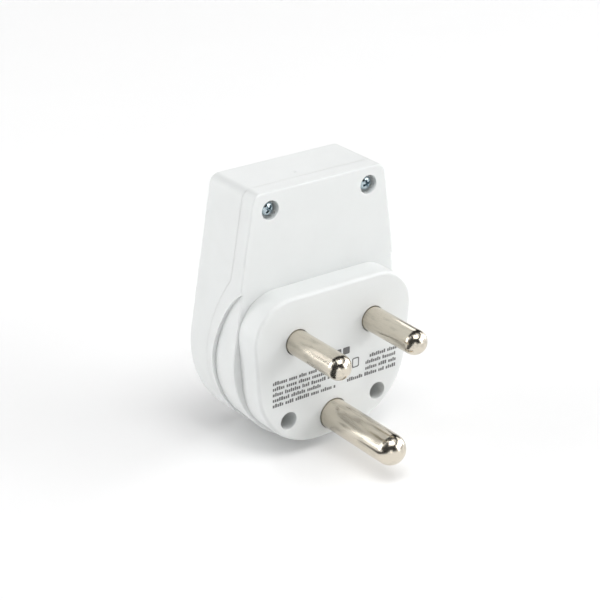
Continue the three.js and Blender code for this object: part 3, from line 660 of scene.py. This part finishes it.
def rear_shell():
    """Rear half of the housing: plug boss, grip steps, screw recesses and pin bores, and posts inside."""
    outer = rounded_prism(housing_outline, FRONT, REAR, 0.3, REAR_EDGE)
    lip = prism(housing_outline(FRONT_WALL + GAP), FRONT + 1, REAR - 1)
    plug = rounded_prism(boss_outline, REAR - 2, 0, 0.2, BOSS_EDGE, 8)
    shell = join(common(outer, seam_area(0)), common(lip, seam_area(-SEAM_TONGUE)), plug)
    cavity = prism(housing_outline(REAR_SKIRT), FRONT - 1, REAR - REAR_WALL)
    plug_cavity = prism(boss_outline(BOSS_WALL), FRONT - 1, -BOSS_FACE)
    cut(shell, grip_cutter(), cavity, plug_cavity)

    inside = join(
        prism(housing_outline(FRONT_WALL + GAP), POST_MEET, REAR - 0.5),
        prism(boss_outline(0.5), REAR - 1, -0.5),
    )
    sleeves = merged([
        rod(side * s["x"], s["z"], POST_SLEEVE, POST_MEET + GAP, -1)
        for s in SCREW_LEVELS for side in (-1, 1)
    ])
    pegs = [
        rod(side * x, z, BOARD_PEG_RADIUS, BOARD_REAR_SIDE, REAR - 1, 24)
        for x, z in BOARD_PEGS for side in (-1, 1)
    ]
    join(shell, common(sleeves, inside), *pegs)

    tools = []
    for s in SCREW_LEVELS:
        tools += both_sides(s["x"], lambda x: recess(s, x))
        tools += both_sides(s["x"], lambda x: rod(x, s["z"], POST_THROUGH, POST_MEET - 1, 0))
    lower = LOWER_SCREW
    tools += both_sides(lower["x"], lambda x: rod(x, lower["z"], POST_RADIUS + GAP, -BEYOND, POST_MEET))
    for pin in poles.values():
        bore = pin["radius"] + PIN_CLEARANCE
        tools.append(flared_hole(
            lambda grow: circle(pin["x"], pin["z"], bore + grow), -BEYOND, 0, PIN_MOUTH_EDGE, 3))
        tools.append(rod(pin["x"], pin["z"], pin["radius"] + PIN_FLANGE + GAP, -BEYOND, -BOSS_FACE))
    return cut(shell, *tools)


def slot_cutter(x, z, size, turn, deep_y, surface_y, rim):
    """Cutter for one flat-pin slot, with a rounded edge at the surface."""
    width, height = size

    def outline(grow):
        return rectangle(x, z, width + 2 * grow, height + 2 * grow, SLOT_CORNER + grow, turn)

    return flared_hole(outline, deep_y, surface_y, rim)


def slanted_slots(size, deep_y, surface_y, rim, shift_x=0.0):
    """Cutters for the two slots of the line poles."""
    places = [(side * POLE_X + shift_x, OUTLET_Z + POLE_Z, size, side * SLANT) for side in (-1, 1)]
    return [slot_cutter(*place, deep_y, surface_y, rim) for place in places]


def port_window(port):
    width, height = port["width"] + 2 * USB_WINDOW, port["height"] + 2 * USB_WINDOW
    corner = port["corner"] + USB_WINDOW - 0.01

    def outline(grow):
        return rectangle(port["x"], port["z"], width + 2 * grow, height + 2 * grow, corner + grow, steps=8)

    return flared_hole(outline, FRONT + FRONT_WALL + 1, FRONT, USB_WINDOW_EDGE)


def gate_mark():
    """Cutter for the shallow ring that the mould's gate leaves on the top."""
    profile = [(0, -0.02), (0.25, -0.02), (0.32, -0.1), (0.5, -0.1), (0.58, 0.0), (0.58, 0.5), (0, 0.5)]
    ring = turned(profile, 32)
    x, y = GATE_MARK
    ring.data.transform(Matrix.Translation((x, y, TOP)) @ Matrix.Rotation(math.pi / 2, 4, "X"))
    return ring


def front_shell():
    """Front half of the housing: slots and port windows, and inside it posts, pegs and shutter rails."""
    inner = FRONT + FRONT_WALL
    outer = rounded_prism(housing_outline, FRONT, BEYOND, FRONT_EDGE, 0.3, 8)
    shell = cut(outer, seam_area(-SEAM_GAP), prism(housing_outline(FRONT_WALL), inner, BEYOND))
    fittings = []
    for s in SCREW_LEVELS:
        fittings += both_sides(s["x"], lambda x: rod(x, s["z"], POST_RADIUS, inner - 1, POST_MEET - GAP))
    fittings += [
        rod(side * x, z, BOARD_PEG_RADIUS, inner - 1, BOARD_FRONT_SIDE, 24)
        for x, z in BOARD_PEGS for side in (-1, 1)
    ]
    peg_x, peg_z, peg_radius = CARRIER_PEG
    peg_tip = CARRIER_Y + CARRIER_THICKNESS + PEG_REACH
    for reach, radius in ((peg_tip, peg_radius), (CARRIER_Y - GAP, peg_radius + PEG_SHOULDER)):
        fittings += both_sides(peg_x, lambda x: rod(x, peg_z, radius, inner - 1, reach, 32))
    rail_near, rail_far = SHUTTER_HALF_HEIGHT + GAP, SHUTTER_HALF_HEIGHT + GAP + RAIL
    for z0, z1 in ((rail_near, rail_far), (-rail_far, -rail_near)):
        fittings.append(box(SHUTTER_X[0] - 1, 15, inner - 1, CARRIER_Y - GAP, z0, z1))
    fittings.append(box(SPRING_STOP_X + GAP, SPRING_STOP_X + 1.4, inner - 1, CARRIER_Y, -1.8, 1.8))
    frame_room = prism(housing_outline(0.5), FRONT + 0.5, 0)
    join(shell, common(join(*fittings), frame_room))

    tools = []
    for s in SCREW_LEVELS:
        tools += both_sides(s["x"], lambda x: rod(x, s["z"], POST_BORE, inner + 1, 0))
    tools += slanted_slots(SLOT, inner + 1, FRONT, SLOT_EDGE)
    tools.append(slot_cutter(0, OUTLET_Z + EARTH_Z, SLOT, 0.0, inner + 1, FRONT, SLOT_EDGE))
    tools += [port_window(USB_A), port_window(USB_C), gate_mark()]
    return cut(shell, *tools)


for node, shell in (("rear_shell", rear_shell), ("front_shell", front_shell)):
    finish(shell(), f"{node}_moulding", white_plastic, [node])


# ---------------------------------------------------------------- generic print on the plug face

# The rows of one side: x of its margin, height of its first row, distance between rows, row lengths.
LEFT_ROWS = (20.6, -10.3, 1.66, (17.5, 18.5, 19.5, 16.5, 21.5))
RIGHT_ROWS = (-21.6, -11.1, 1.78, (9.5, 10.9, 10.9, 17.2))
BLOCK_LOW, BLOCK_TALL, BLOCK_WIDTHS, BLOCK_GAP, WORD_GAP = 0.82, 1.1, (0.42, 0.62), 0.17, 0.55


def inked(outline):
    return prism(outline, -INK_DEPTH, INK_HEIGHT)


def print_rows():
    """Rows of plain blocks the size of small print, four larger ones and an empty frame.

    There are no letters and no marks: only the grey tone of the print.
    """
    draw = random.Random(5)
    margin, top, pitch, lengths = LEFT_ROWS
    rows = [(margin, top - pitch * i, length) for i, length in enumerate(lengths)]
    margin, top, pitch, lengths = RIGHT_ROWS
    rows += [(margin + length, top - pitch * i, length) for i, length in enumerate(lengths)]
    blocks = []
    for start, z, length in rows:
        x, end = start, start - length
        while x > end + 0.6:
            for _ in range(draw.randint(3, 8)):
                if x < end + 0.5:
                    break
                width = draw.uniform(*BLOCK_WIDTHS)
                height = draw.choice((BLOCK_LOW, BLOCK_LOW, BLOCK_TALL))
                middle = z + (height - BLOCK_LOW) / 2
                blocks.append(inked(rectangle(x - width / 2, middle, width, height, 0.08, steps=2)))
                x -= width + BLOCK_GAP
            x -= WORD_GAP
    blocks += [inked(rectangle(4.8 - 2.9 * i, -7.2, 2.3, 2.1, 0.3)) for i in range(4)]
    frame_x, frame_z = -7.2, -11.7
    opening = prism(rectangle(frame_x, frame_z, 1.7, 2.3, 0.3), -1, 1)
    blocks.append(cut(inked(rectangle(frame_x, frame_z, 2.4, 3.0, 0.5)), opening))
    return merged(blocks)


finish(print_rows(), "generic_print", ink)


# ---------------------------------------------------------------- plug pins and their nuts

def pin(radius, length):
    """Plug pin with a domed tip, and behind the plug face a flange and the tail for its nut."""
    flange_y = -BOSS_FACE - 0.1
    flange_end = flange_y - PIN_FLANGE_THICKNESS
    tail_end = flange_end - PIN_TAIL_LENGTH
    flange = radius + PIN_FLANGE
    profile = [
        (0, tail_end), (PIN_TAIL_RADIUS - 0.3, tail_end), (PIN_TAIL_RADIUS, tail_end + 0.3),
        (PIN_TAIL_RADIUS, flange_end), (flange - 0.15, flange_end), (flange, flange_end + 0.15),
        (flange, flange_y - 0.15), (flange - 0.15, flange_y), (radius, flange_y),
    ]
    profile += arc(0, length - radius, radius, 0, math.pi / 2, 28)[:-1]
    profile.append((0, length))
    return turned(profile, 128)


def nut():
    body = prism(circle(0, 0, NUT_ACROSS / math.sqrt(3), 6), -NUT_HEIGHT, 0)
    flat_end, corner = NUT_ACROSS / 2, NUT_ACROSS / 2 + 0.6
    chamfer = turned([
        (0, -NUT_HEIGHT), (flat_end, -NUT_HEIGHT), (corner, 0.35 - NUT_HEIGHT), (corner, -0.35),
        (flat_end, 0), (0, 0),
    ])
    hole = flared_hole(lambda grow: circle(0, 0, PIN_TAIL_RADIUS + 0.12 + grow), 1, -NUT_HEIGHT, 0.3, 2)
    return cut(common(body, chamfer), hole)


for pole, values in poles.items():
    place = (values["x"], 0, values["z"])
    made = pin(values["radius"], values["length"])
    finish(made, f"{pole}_pin_turned", nickel, [f"{pole}_pin"], place, sharp=25)
    low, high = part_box(f"{pole}_pin_nut")
    place = (values["x"], high.y / MM, values["z"])
    finish(nut(), f"{pole}_pin_hex_nut", zinc, [f"{pole}_pin_nut"], place)


# ---------------------------------------------------------------- case screws

THREAD_PITCH, THREAD_DEPTH = 1.1, 0.32


def thread(angle, y):
    """How far the helical ridge stands out from the core at this place."""
    start, end = -SCREW_LENGTH + 1.2, -1.4
    if not start < y < end:
        return 0.0
    phase = (y / THREAD_PITCH - angle / (2 * math.pi)) % 1.0
    ridge = max(0.0, 1 - abs(phase - 0.5) / 0.28)
    fade = min(1.0, (y - start) / 1.0, (end - y) / 0.5)
    return THREAD_DEPTH * ridge * fade


def case_screw():
    """Thread-forming screw with a domed head and a cross recess. Its seat is at y = 0."""
    core = SHANK_RADIUS - THREAD_DEPTH
    profile = [(0, -SCREW_LENGTH), (0.25, -SCREW_LENGTH + 0.1)]
    steps = 120
    for i in range(steps + 1):
        y = -SCREW_LENGTH + 0.2 + (SCREW_LENGTH - 0.4) * i / steps
        taper = min(1.0, (y + SCREW_LENGTH) / 2.2)
        profile.append((0.35 + (core - 0.35) * taper, y))
    profile += [(core, 0), (HEAD_RADIUS - 0.08, 0), (HEAD_RADIUS, 0.08)]
    rim = 0.45 * HEAD_HEIGHT
    dome = arc(0, 0, 1, 0, math.pi / 2, 12)[:-1]
    profile += [(HEAD_RADIUS * a, rim + (HEAD_HEIGHT - rim) * b) for a, b in dome]
    profile.append((0, HEAD_HEIGHT))
    screw = turned(profile, 48, thread)

    blades = []
    for turn in (0.0, math.pi / 2):
        floor = rectangle(0, 0, *CROSS_FLOOR, 0.05, turn)
        mouth = rectangle(0, 0, *CROSS_MOUTH, 0.1, turn)
        blades.append(layered([(HEAD_HEIGHT - CROSS_DEPTH, floor), (HEAD_HEIGHT + 0.1, mouth)]))
    return cut(screw, *blades)


SCREW_TURNS = {"upper_left": 20, "upper_right": 52, "lower_left": 35, "lower_right": 70}
for corner, degrees in SCREW_TURNS.items():
    low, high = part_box(f"{corner}_screw")
    middle = (low + high) / (2 * MM)
    place = (middle.x, high.y / MM - HEAD_HEIGHT, middle.z)
    made = case_screw()
    made.data.transform(Matrix.Rotation(math.radians(degrees), 4, "Y"))
    finish(made, f"{corner}_case_screw", zinc, [f"{corner}_screw"], place, sharp=40)


# ---------------------------------------------------------------- outlet shutter and its spring

def shutter_plate():
    left, right = SHUTTER_X
    rear = SHUTTER_Y + SHUTTER_THICKNESS
    cx, width = (left + right) / 2, right - left
    plate = rounded_prism(
        lambda inset: rectangle(cx, 0, width - 2 * inset, 2 * (SHUTTER_HALF_HEIGHT - inset), 0.6 - inset),
        SHUTTER_Y, rear, 0.2, 0.2, 3)
    peg = turned([(0, -1.0), (0.55, -1.0), (0.55, 1.2), (0.4, 1.4), (0, 1.4)], 32)
    towards_spring = Matrix.Rotation(-math.pi / 2, 4, "Z")
    peg.data.transform(Matrix.Translation((right, SHUTTER_MIDDLE_Y, 0)) @ towards_spring)
    windows = slanted_slots(SHUTTER_WINDOW, rear + 1, SHUTTER_Y, SHUTTER_WINDOW_EDGE, -SHUTTER_TRAVEL)
    return cut(join(plate, peg), *windows)


def spring_coil():
    """Compression spring with closed end turns."""
    wire, coil, turns, per_turn = 0.14, 0.9, 7.0, 28
    start, end = SHUTTER_X[1] + wire + 0.1, SPRING_STOP_X - wire
    count = int(turns * per_turn)
    points = []
    for i in range(count + 1):
        t = i / count
        eased = t - 0.08 * math.sin(2 * math.pi * t)
        angle = 2 * math.pi * turns * t
        y, z = SHUTTER_MIDDLE_Y + coil * math.cos(angle), coil * math.sin(angle)
        points.append((start + (end - start) * eased, y, z))
    return tube(points, wire, 10)


finish(
    shutter_plate(), "sliding_shutter", shutter_plastic, ["outlet_shutter"],
    body="shutter")
spring = finish(
    spring_coil(), "return_spring", spring_wire, ["shutter_spring"], sharp=60, clean=False)
spring.modifiers.clear()
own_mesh(spring)


# ---------------------------------------------------------------- USB ports

def port_can(port):
    """Drawn steel shell with a rolled front edge."""
    def outline(inset):
        width, height = port["width"] - 2 * inset, port["height"] - 2 * inset
        return rectangle(port["x"], port["z"], width, height, max(port["corner"] - inset, 0.15), steps=8)
    wall = port["wall"]
    outer = rounded_prism(outline, USB_FRONT, BOARD_FRONT_SIDE, 0.12, 0.05, 3)
    inner = flared_hole(lambda grow: outline(wall - grow), BOARD_FRONT_SIDE + 1, USB_FRONT, 0.12, 3)
    return cut(outer, inner)


def port_tongue(port, blade, shift_z, base_radius, pads, pad_width):
    """Plastic tongue on its base, with a row of contact pads lying on the blade."""
    inset = 2 * port["wall"] + 0.2
    x, z = port["x"], port["z"]
    width, height = blade
    base_outline = rectangle(x, z, port["width"] - inset, port["height"] - inset, base_radius, steps=6)
    base = prism(base_outline, BOARD_FRONT_SIDE - 2.6, BOARD_FRONT_SIDE)
    tongue = rounded_prism(
        lambda grow: rectangle(x, z + shift_z, width - 2 * grow, height - 2 * grow, 0.24 - grow * 0.5),
        USB_FRONT + 0.8, BOARD_FRONT_SIDE - 2, 0.2, 0.05, 3)
    body = join(base, tongue)
    under = z + shift_z - height / 2
    pitch = (width - 1.2) / pads
    strips = []
    for i in range(pads):
        middle = x + (i - (pads - 1) / 2) * pitch
        outline = rectangle(middle, under - 0.02, pad_width, 0.12, 0.03)
        strips.append(prism(outline, USB_FRONT + 1.2, USB_FRONT + 8.5))
    return body, merged(strips)


ports = {
    "usb_a": (USB_A, (11, 1.9), 0.9, 0.3, 4, 1.3),
    "usb_c": (USB_C, (6.7, 0.8), 0.0, 1.1, 12, 0.26),
}
for name, (port, *tongue_sizes) in ports.items():
    finish(port_can(port), f"{name}_can", port_steel, [f"{name}_port"])
    body, strips = port_tongue(port, *tongue_sizes)
    finish(body, f"{name}_tongue_moulding", tongue_plastic, [f"{name}_tongue"])
    finish(strips, f"{name}_contact_pads", gold_flash)


# ---------------------------------------------------------------- parts on the board

def can_sleeve(radius, height):
    """Shrink sleeve of a can capacitor, rolled over both ends, with the crimp near the board."""
    lip = radius - 0.85
    return turned([
        (0, 0.35 - height), (lip, 0.35 - height), (lip, 0.04 - height), (radius - 0.5, -height),
        (radius - 0.15, 0.12 - height), (radius, 0.45 - height), (radius, -2.0), (radius - 0.1, -1.75),
        (radius - 0.4, -1.4), (radius - 0.4, -1.2), (radius - 0.1, -0.85), (radius, -0.6),
        (radius, -0.15), (radius - 0.15, 0), (0, 0),
    ])


def can_end(radius, height):
    """Aluminium end of the can, scored with a cross so that it can vent."""
    edge = radius - 0.87
    disc = turned([
        (0, 0.06 - height), (edge - 0.2, 0.06 - height), (edge, 0.16 - height), (edge, 0.34 - height),
        (0, 0.34 - height),
    ])
    lines = [rectangle(0, 0, 1.5 * edge, 0.16, 0.05, turn) for turn in (0, math.pi / 2)]
    return cut(disc, join(*[prism(line, -height, 0.14 - height) for line in lines]))


def lying(piece, rise):
    """Turns a piece made about Y so that it lies along X, that far in front of the board."""
    piece.data.transform(Matrix.Translation((0, -rise, 0)) @ Matrix.Rotation(math.pi / 2, 4, "Z"))
    return piece


def resistor_body(radius, length):
    """Coated body, thicker over its two end caps."""
    half = length / 2
    right = [(radius - 0.2, 1.5), (radius, 2.1), (radius, 2.8), (radius - 0.25, half - 0.2), (0.9, half)]
    left = [(r, -y) for r, y in reversed(right)]
    return turned([(0, -half), *left, (radius - 0.22, 0), *right, (0, half)])


def bent_lead(span, rise, bend=0.9):
    """Centre line of a wire that rises from the board, runs along X and goes back down."""
    left = [(-span / 2 + x, y, 0) for x, y in arc(bend, -rise + bend, bend, math.pi, 1.5 * math.pi, 8)]
    right = [(-x, y, z) for x, y, z in reversed(left)]
    return [(-span / 2, 0, 0), *left, *right, (span / 2, 0, 0)]


def choke_drum(flange, core, height):
    eased = flange - 0.1
    return turned([
        (0, -height), (eased, -height), (flange, 0.1 - height), (flange, 0.9 - height), (eased, 1 - height),
        (core, 1.2 - height), (core, -1.2), (eased, -1), (flange, -0.9), (flange, -0.1), (eased, 0), (0, 0),
    ])


def choke_winding(core, height, wire=0.16, layer=0.3):
    """Enamelled wire on the drum: its outer turns, side by side."""
    low = 1.35 - height
    turns = int((height - 2.7) / (2 * wire))
    profile = [(0, low)]
    for i in range(turns):
        middle = low + wire * (2 * i + 1)
        for out, along in ((0.0, -1.0), (0.87, -0.5), (1.0, 0.0), (0.87, 0.5)):
            profile.append((core + layer + wire * out, middle + wire * along))
    high = low + 2 * wire * turns
    return turned([*profile, (core + layer, high), (0, high)], 48)


def smooth_path(points, steps):
    """A curve through all the points (Catmull-Rom)."""
    known = [Vector(p) for p in points]
    known = [known[0] * 2 - known[1], *known, known[-1] * 2 - known[-2]]
    path = []
    for a, b, c, d in zip(known, known[1:], known[2:], known[3:]):
        for i in range(steps):
            t = i / steps
            square, cube = a * 2 - b * 5 + c * 4 - d, b * 3 - a - c * 3 + d
            path.append((b * 2 + (c - a) * t + square * t**2 + cube * t**3) / 2)
    return [*path, known[-2]]


def lead_route(side):
    """Centre line of a supply lead, from the rear of the board to the contact's solder tab."""
    x, z = LEAD_JOINT
    tab_x = side * poles["neutral"]["x"]
    return [
        (side * x, BOARD_REAR_SIDE + 0.2, z),
        (side * 15.1, BOARD_REAR_SIDE + 1.3, 17.1),
        (side * 14.4, BOARD_REAR_SIDE + 1.3, 13),
        (side * 13.3, BOARD_REAR_SIDE + 3.2, 9.4),
        (tab_x, LEAD_TAB_Y - 0.4, 7.8),
        (tab_x, LEAD_TAB_Y, 5.2),
    ]


def solder_joint(x, z):
    """Fillet of solder on the rear of the board."""
    y = BOARD_Y + BOARD_THICKNESS
    profile = [(0, 0.02), (0.95, 0.02), (0.8, 0.12), (0.55, 0.3), (0.4, 0.55), (0.25, 0.65), (0, 0.68)]
    fillet = turned(profile, 32)
    fillet.data.transform(Matrix.Translation((x, y, z)))
    return fillet


def on_board(name):
    """Where a part stands on the outlet side of the board."""
    low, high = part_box(name)
    middle = (low + high) / (2 * MM)
    return (middle.x, BOARD_FRONT_SIDE, middle.z)


for name, size in CAPACITORS.items():
    place = on_board(name)
    finish(can_sleeve(*size), f"{name}_sleeve", capacitor_sleeve, [name], place)
    finish(can_end(*size), f"{name}_end", can_aluminium, place=place)

place = on_board("fusible_resistor")
body = lying(resistor_body(RESISTOR_RADIUS, RESISTOR_LENGTH), RESISTOR_RISE)
finish(body, "resistor_body", resistor_coat, ["fusible_resistor"], place)
wire = tube(bent_lead(RESISTOR_SPAN, RESISTOR_RISE), WIRE_RADIUS)
finish(wire, "resistor_wire", tin, place=place)

place = on_board("filter_choke")
drum = choke_drum(CHOKE_FLANGE, CHOKE_CORE, CHOKE_HEIGHT)
finish(drum, "choke_drum", ferrite, ["filter_choke"], place)
winding = choke_winding(CHOKE_CORE, CHOKE_HEIGHT)
finish(winding, "choke_winding", enamelled_copper, place=place)

for pole, side, insulation in (("live", -1, live_insulation), ("neutral", 1, neutral_insulation)):
    path = smooth_path(lead_route(side), 8)
    cover = tube(path, LEAD_RADIUS, 24)
    finish(cover, f"{pole}_lead_insulation", insulation, [f"{pole}_lead"], sharp=50)
    end = path[-1]
    strand = tube([end + Vector((0, 0, 0.6)), end, end - Vector((0, 0, 0.5))], STRAND_RADIUS)
    finish(strand, f"{pole}_lead_strand", tin)

resistor_x, _, resistor_z = on_board("fusible_resistor")
choke_x, _, choke_z = on_board("filter_choke")
joints = [(-LEAD_JOINT[0], LEAD_JOINT[1]), LEAD_JOINT]
joints += [(resistor_x + side * RESISTOR_SPAN / 2, resistor_z) for side in (-1, 1)]
joints += [(choke_x + side * CHOKE_CORE, choke_z) for side in (-1, 1)]
finish(merged([solder_joint(x, z) for x, z in joints]), "solder_joints", tin)


# ---------------------------------------------------------------- carried-over CAD pieces

CARRIED = {
    "live_contact": brass, "neutral_contact": brass, "earth_contact": brass,
    "contact_carrier": insulator_plastic,
    "circuit_board": board_laminate,
    "transformer_core": ferrite, "transformer_winding": winding_tape,
    "bridge_rectifier": chip_epoxy, "switching_controller": chip_epoxy,
}
for name, material in CARRIED.items():
    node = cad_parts[name]
    node.data.materials.clear()
    node.data.materials.append(material)


# ---------------------------------------------------------------- floor, camera and light

FLOOR_HALF = 2.2  # metres
floor_z = cad_box[0].z / MM - 0.02
bm = bmesh.new()
corners = [(-1, -1), (1, -1), (1, 1), (-1, 1)]
bm.faces.new([bm.verts.new((x * FLOOR_HALF / MM, y * FLOOR_HALF / MM, floor_z)) for x, y in corners])
floor = as_object(bm, "floor")
floor.data.transform(Matrix.Scale(MM, 4))
floor_look = Look("floor_paper")
floor_look.colour(floor_look.noise(40.0, 3.0), [(0.0, (0.95, 0.95, 0.95)), (1.0, (0.97, 0.97, 0.97))])
floor_look.rough(floor_look.noise(6.0, 3.0), 0.75, 0.9)
floor.data.materials.append(floor_look.bump(floor_look.noise(0.8, 4.0, 0.6), 0.01).material)

CAMERA_AZIMUTH, CAMERA_ELEVATION, CAMERA_ROLL = [math.radians(a) for a in (142.93, 24.81, 0.82)]
camera = bpy.data.objects.new("camera", bpy.data.cameras.new("camera"))
bpy.context.scene.collection.objects.link(camera)
camera.location = (0.268317, 0.339212, 0.208643)
camera.data.lens, camera.data.sensor_width = 107.72, 36.0
camera.data.clip_start = 0.01
back = Vector((
    math.sin(CAMERA_AZIMUTH) * math.cos(CAMERA_ELEVATION),
    -math.cos(CAMERA_AZIMUTH) * math.cos(CAMERA_ELEVATION),
    math.sin(CAMERA_ELEVATION),
))
upright = (-back).to_track_quat("-Z", "Y").to_matrix()
camera.rotation_euler = (upright @ Matrix.Rotation(CAMERA_ROLL, 3, "Z")).to_euler()
bpy.context.scene.camera = camera


PANEL_DISTANCE = 2.6
LOW, HIGH = 0.85, 1.2  # widths of a panel near the floor and of one well above it
# Azimuth (0 looks along +Y), elevation, width and power in watts of each panel of the light tent.
PANELS = [
    (60, 10, LOW, 15.0), (150, 10, LOW, 2.5), (210, 10, LOW, 4.0), (270, 10, LOW, 8.0),
    (30, 30, HIGH, 5.5), (60, 27, HIGH, 11.0), (210, 27, HIGH, 12.5), (240, 27, HIGH, 21.0),
    (270, 27, HIGH, 7.0), (330, 27, HIGH, 9.0), (90, 46, HIGH, 4.0),
    (120, 67, HIGH, 16.0), (180, 67, HIGH, 20.5), (240, 67, HIGH, 4.0),
]


def panel(azimuth, elevation, width, watts):
    a, e = math.radians(azimuth), math.radians(elevation)
    direction = Vector((math.sin(a) * math.cos(e), -math.cos(a) * math.cos(e), math.sin(e)))
    light = bpy.data.lights.new("panel", "AREA")
    light.shape = "SQUARE"
    light.size = width
    light.energy = watts
    holder = bpy.data.objects.new("panel", light)
    holder.location = direction * PANEL_DISTANCE
    holder.rotation_euler = direction.to_track_quat("Z", "Y").to_euler()
    bpy.context.scene.collection.objects.link(holder)


for setting in PANELS:
    panel(*setting)


def felt_material():
    look = Look("flag_felt")
    look.colour(look.noise(1.2, 4.0), [(0.3, (0.010, 0.010, 0.010)), (0.8, (0.020, 0.019, 0.018))])
    look.rough(look.noise(2.0, 3.0), 0.85, 1.0)
    return look.bump(look.noise(0.4, 3.0), 0.05).material


def flag(name, azimuth, half_angle, near, far, height):
    """A black card that widens away from the object: it lies on the floor and stands up at its far end.

    Only reflections see it: it gives the bright pins the dark band of the camera's side of a studio.
    """
    spread = math.tan(math.radians(half_angle))
    profile = [(near, 0.001), (far, 0.001), (far, 0.001 + height)]
    bm = bmesh.new()
    rows = [[bm.verts.new((side * out * spread, out, up)) for out, up in profile] for side in (-1, 1)]
    for i in (0, 1):
        bm.faces.new((rows[0][i], rows[0][i + 1], rows[1][i + 1], rows[1][i]))
    card = as_object(bm, name)
    turn = Matrix.Rotation(math.radians(azimuth) - math.pi, 4, "Z")
    card.data.transform(Matrix.Translation((0, 0, floor_z * MM)) @ turn)
    card.data.materials.append(felt_material())
    card.visible_camera = False
    card.visible_shadow = False
    card.visible_diffuse = False


flag("front_flag", azimuth=110, half_angle=20.0, near=0.018, far=0.42, height=1.7)


def studio_world():
    """A pale band of backdrop round the horizon, fading into the dark of the room above it."""
    world = bpy.data.worlds.new("studio")
    world.use_nodes = True
    nodes, links = world.node_tree.nodes, world.node_tree.links
    height = nodes.new("ShaderNodeSeparateXYZ")
    links.new(nodes.new("ShaderNodeTexCoord").outputs["Generated"], height.inputs["Vector"])
    fade = nodes.new("ShaderNodeMapRange")
    for socket, value in {"From Min": 0.06, "From Max": 0.22, "To Min": 1.0, "To Max": 0.02}.items():
        fade.inputs[socket].default_value = value
    links.new(height.outputs["Z"], fade.inputs["Value"])
    links.new(fade.outputs["Result"], nodes["Background"].inputs["Strength"])
    nodes["Background"].inputs["Color"].default_value = (1, 1, 1, 1)
    bpy.context.scene.world = world


studio_world()
bpy.context.scene.view_settings.view_transform = "Standard"
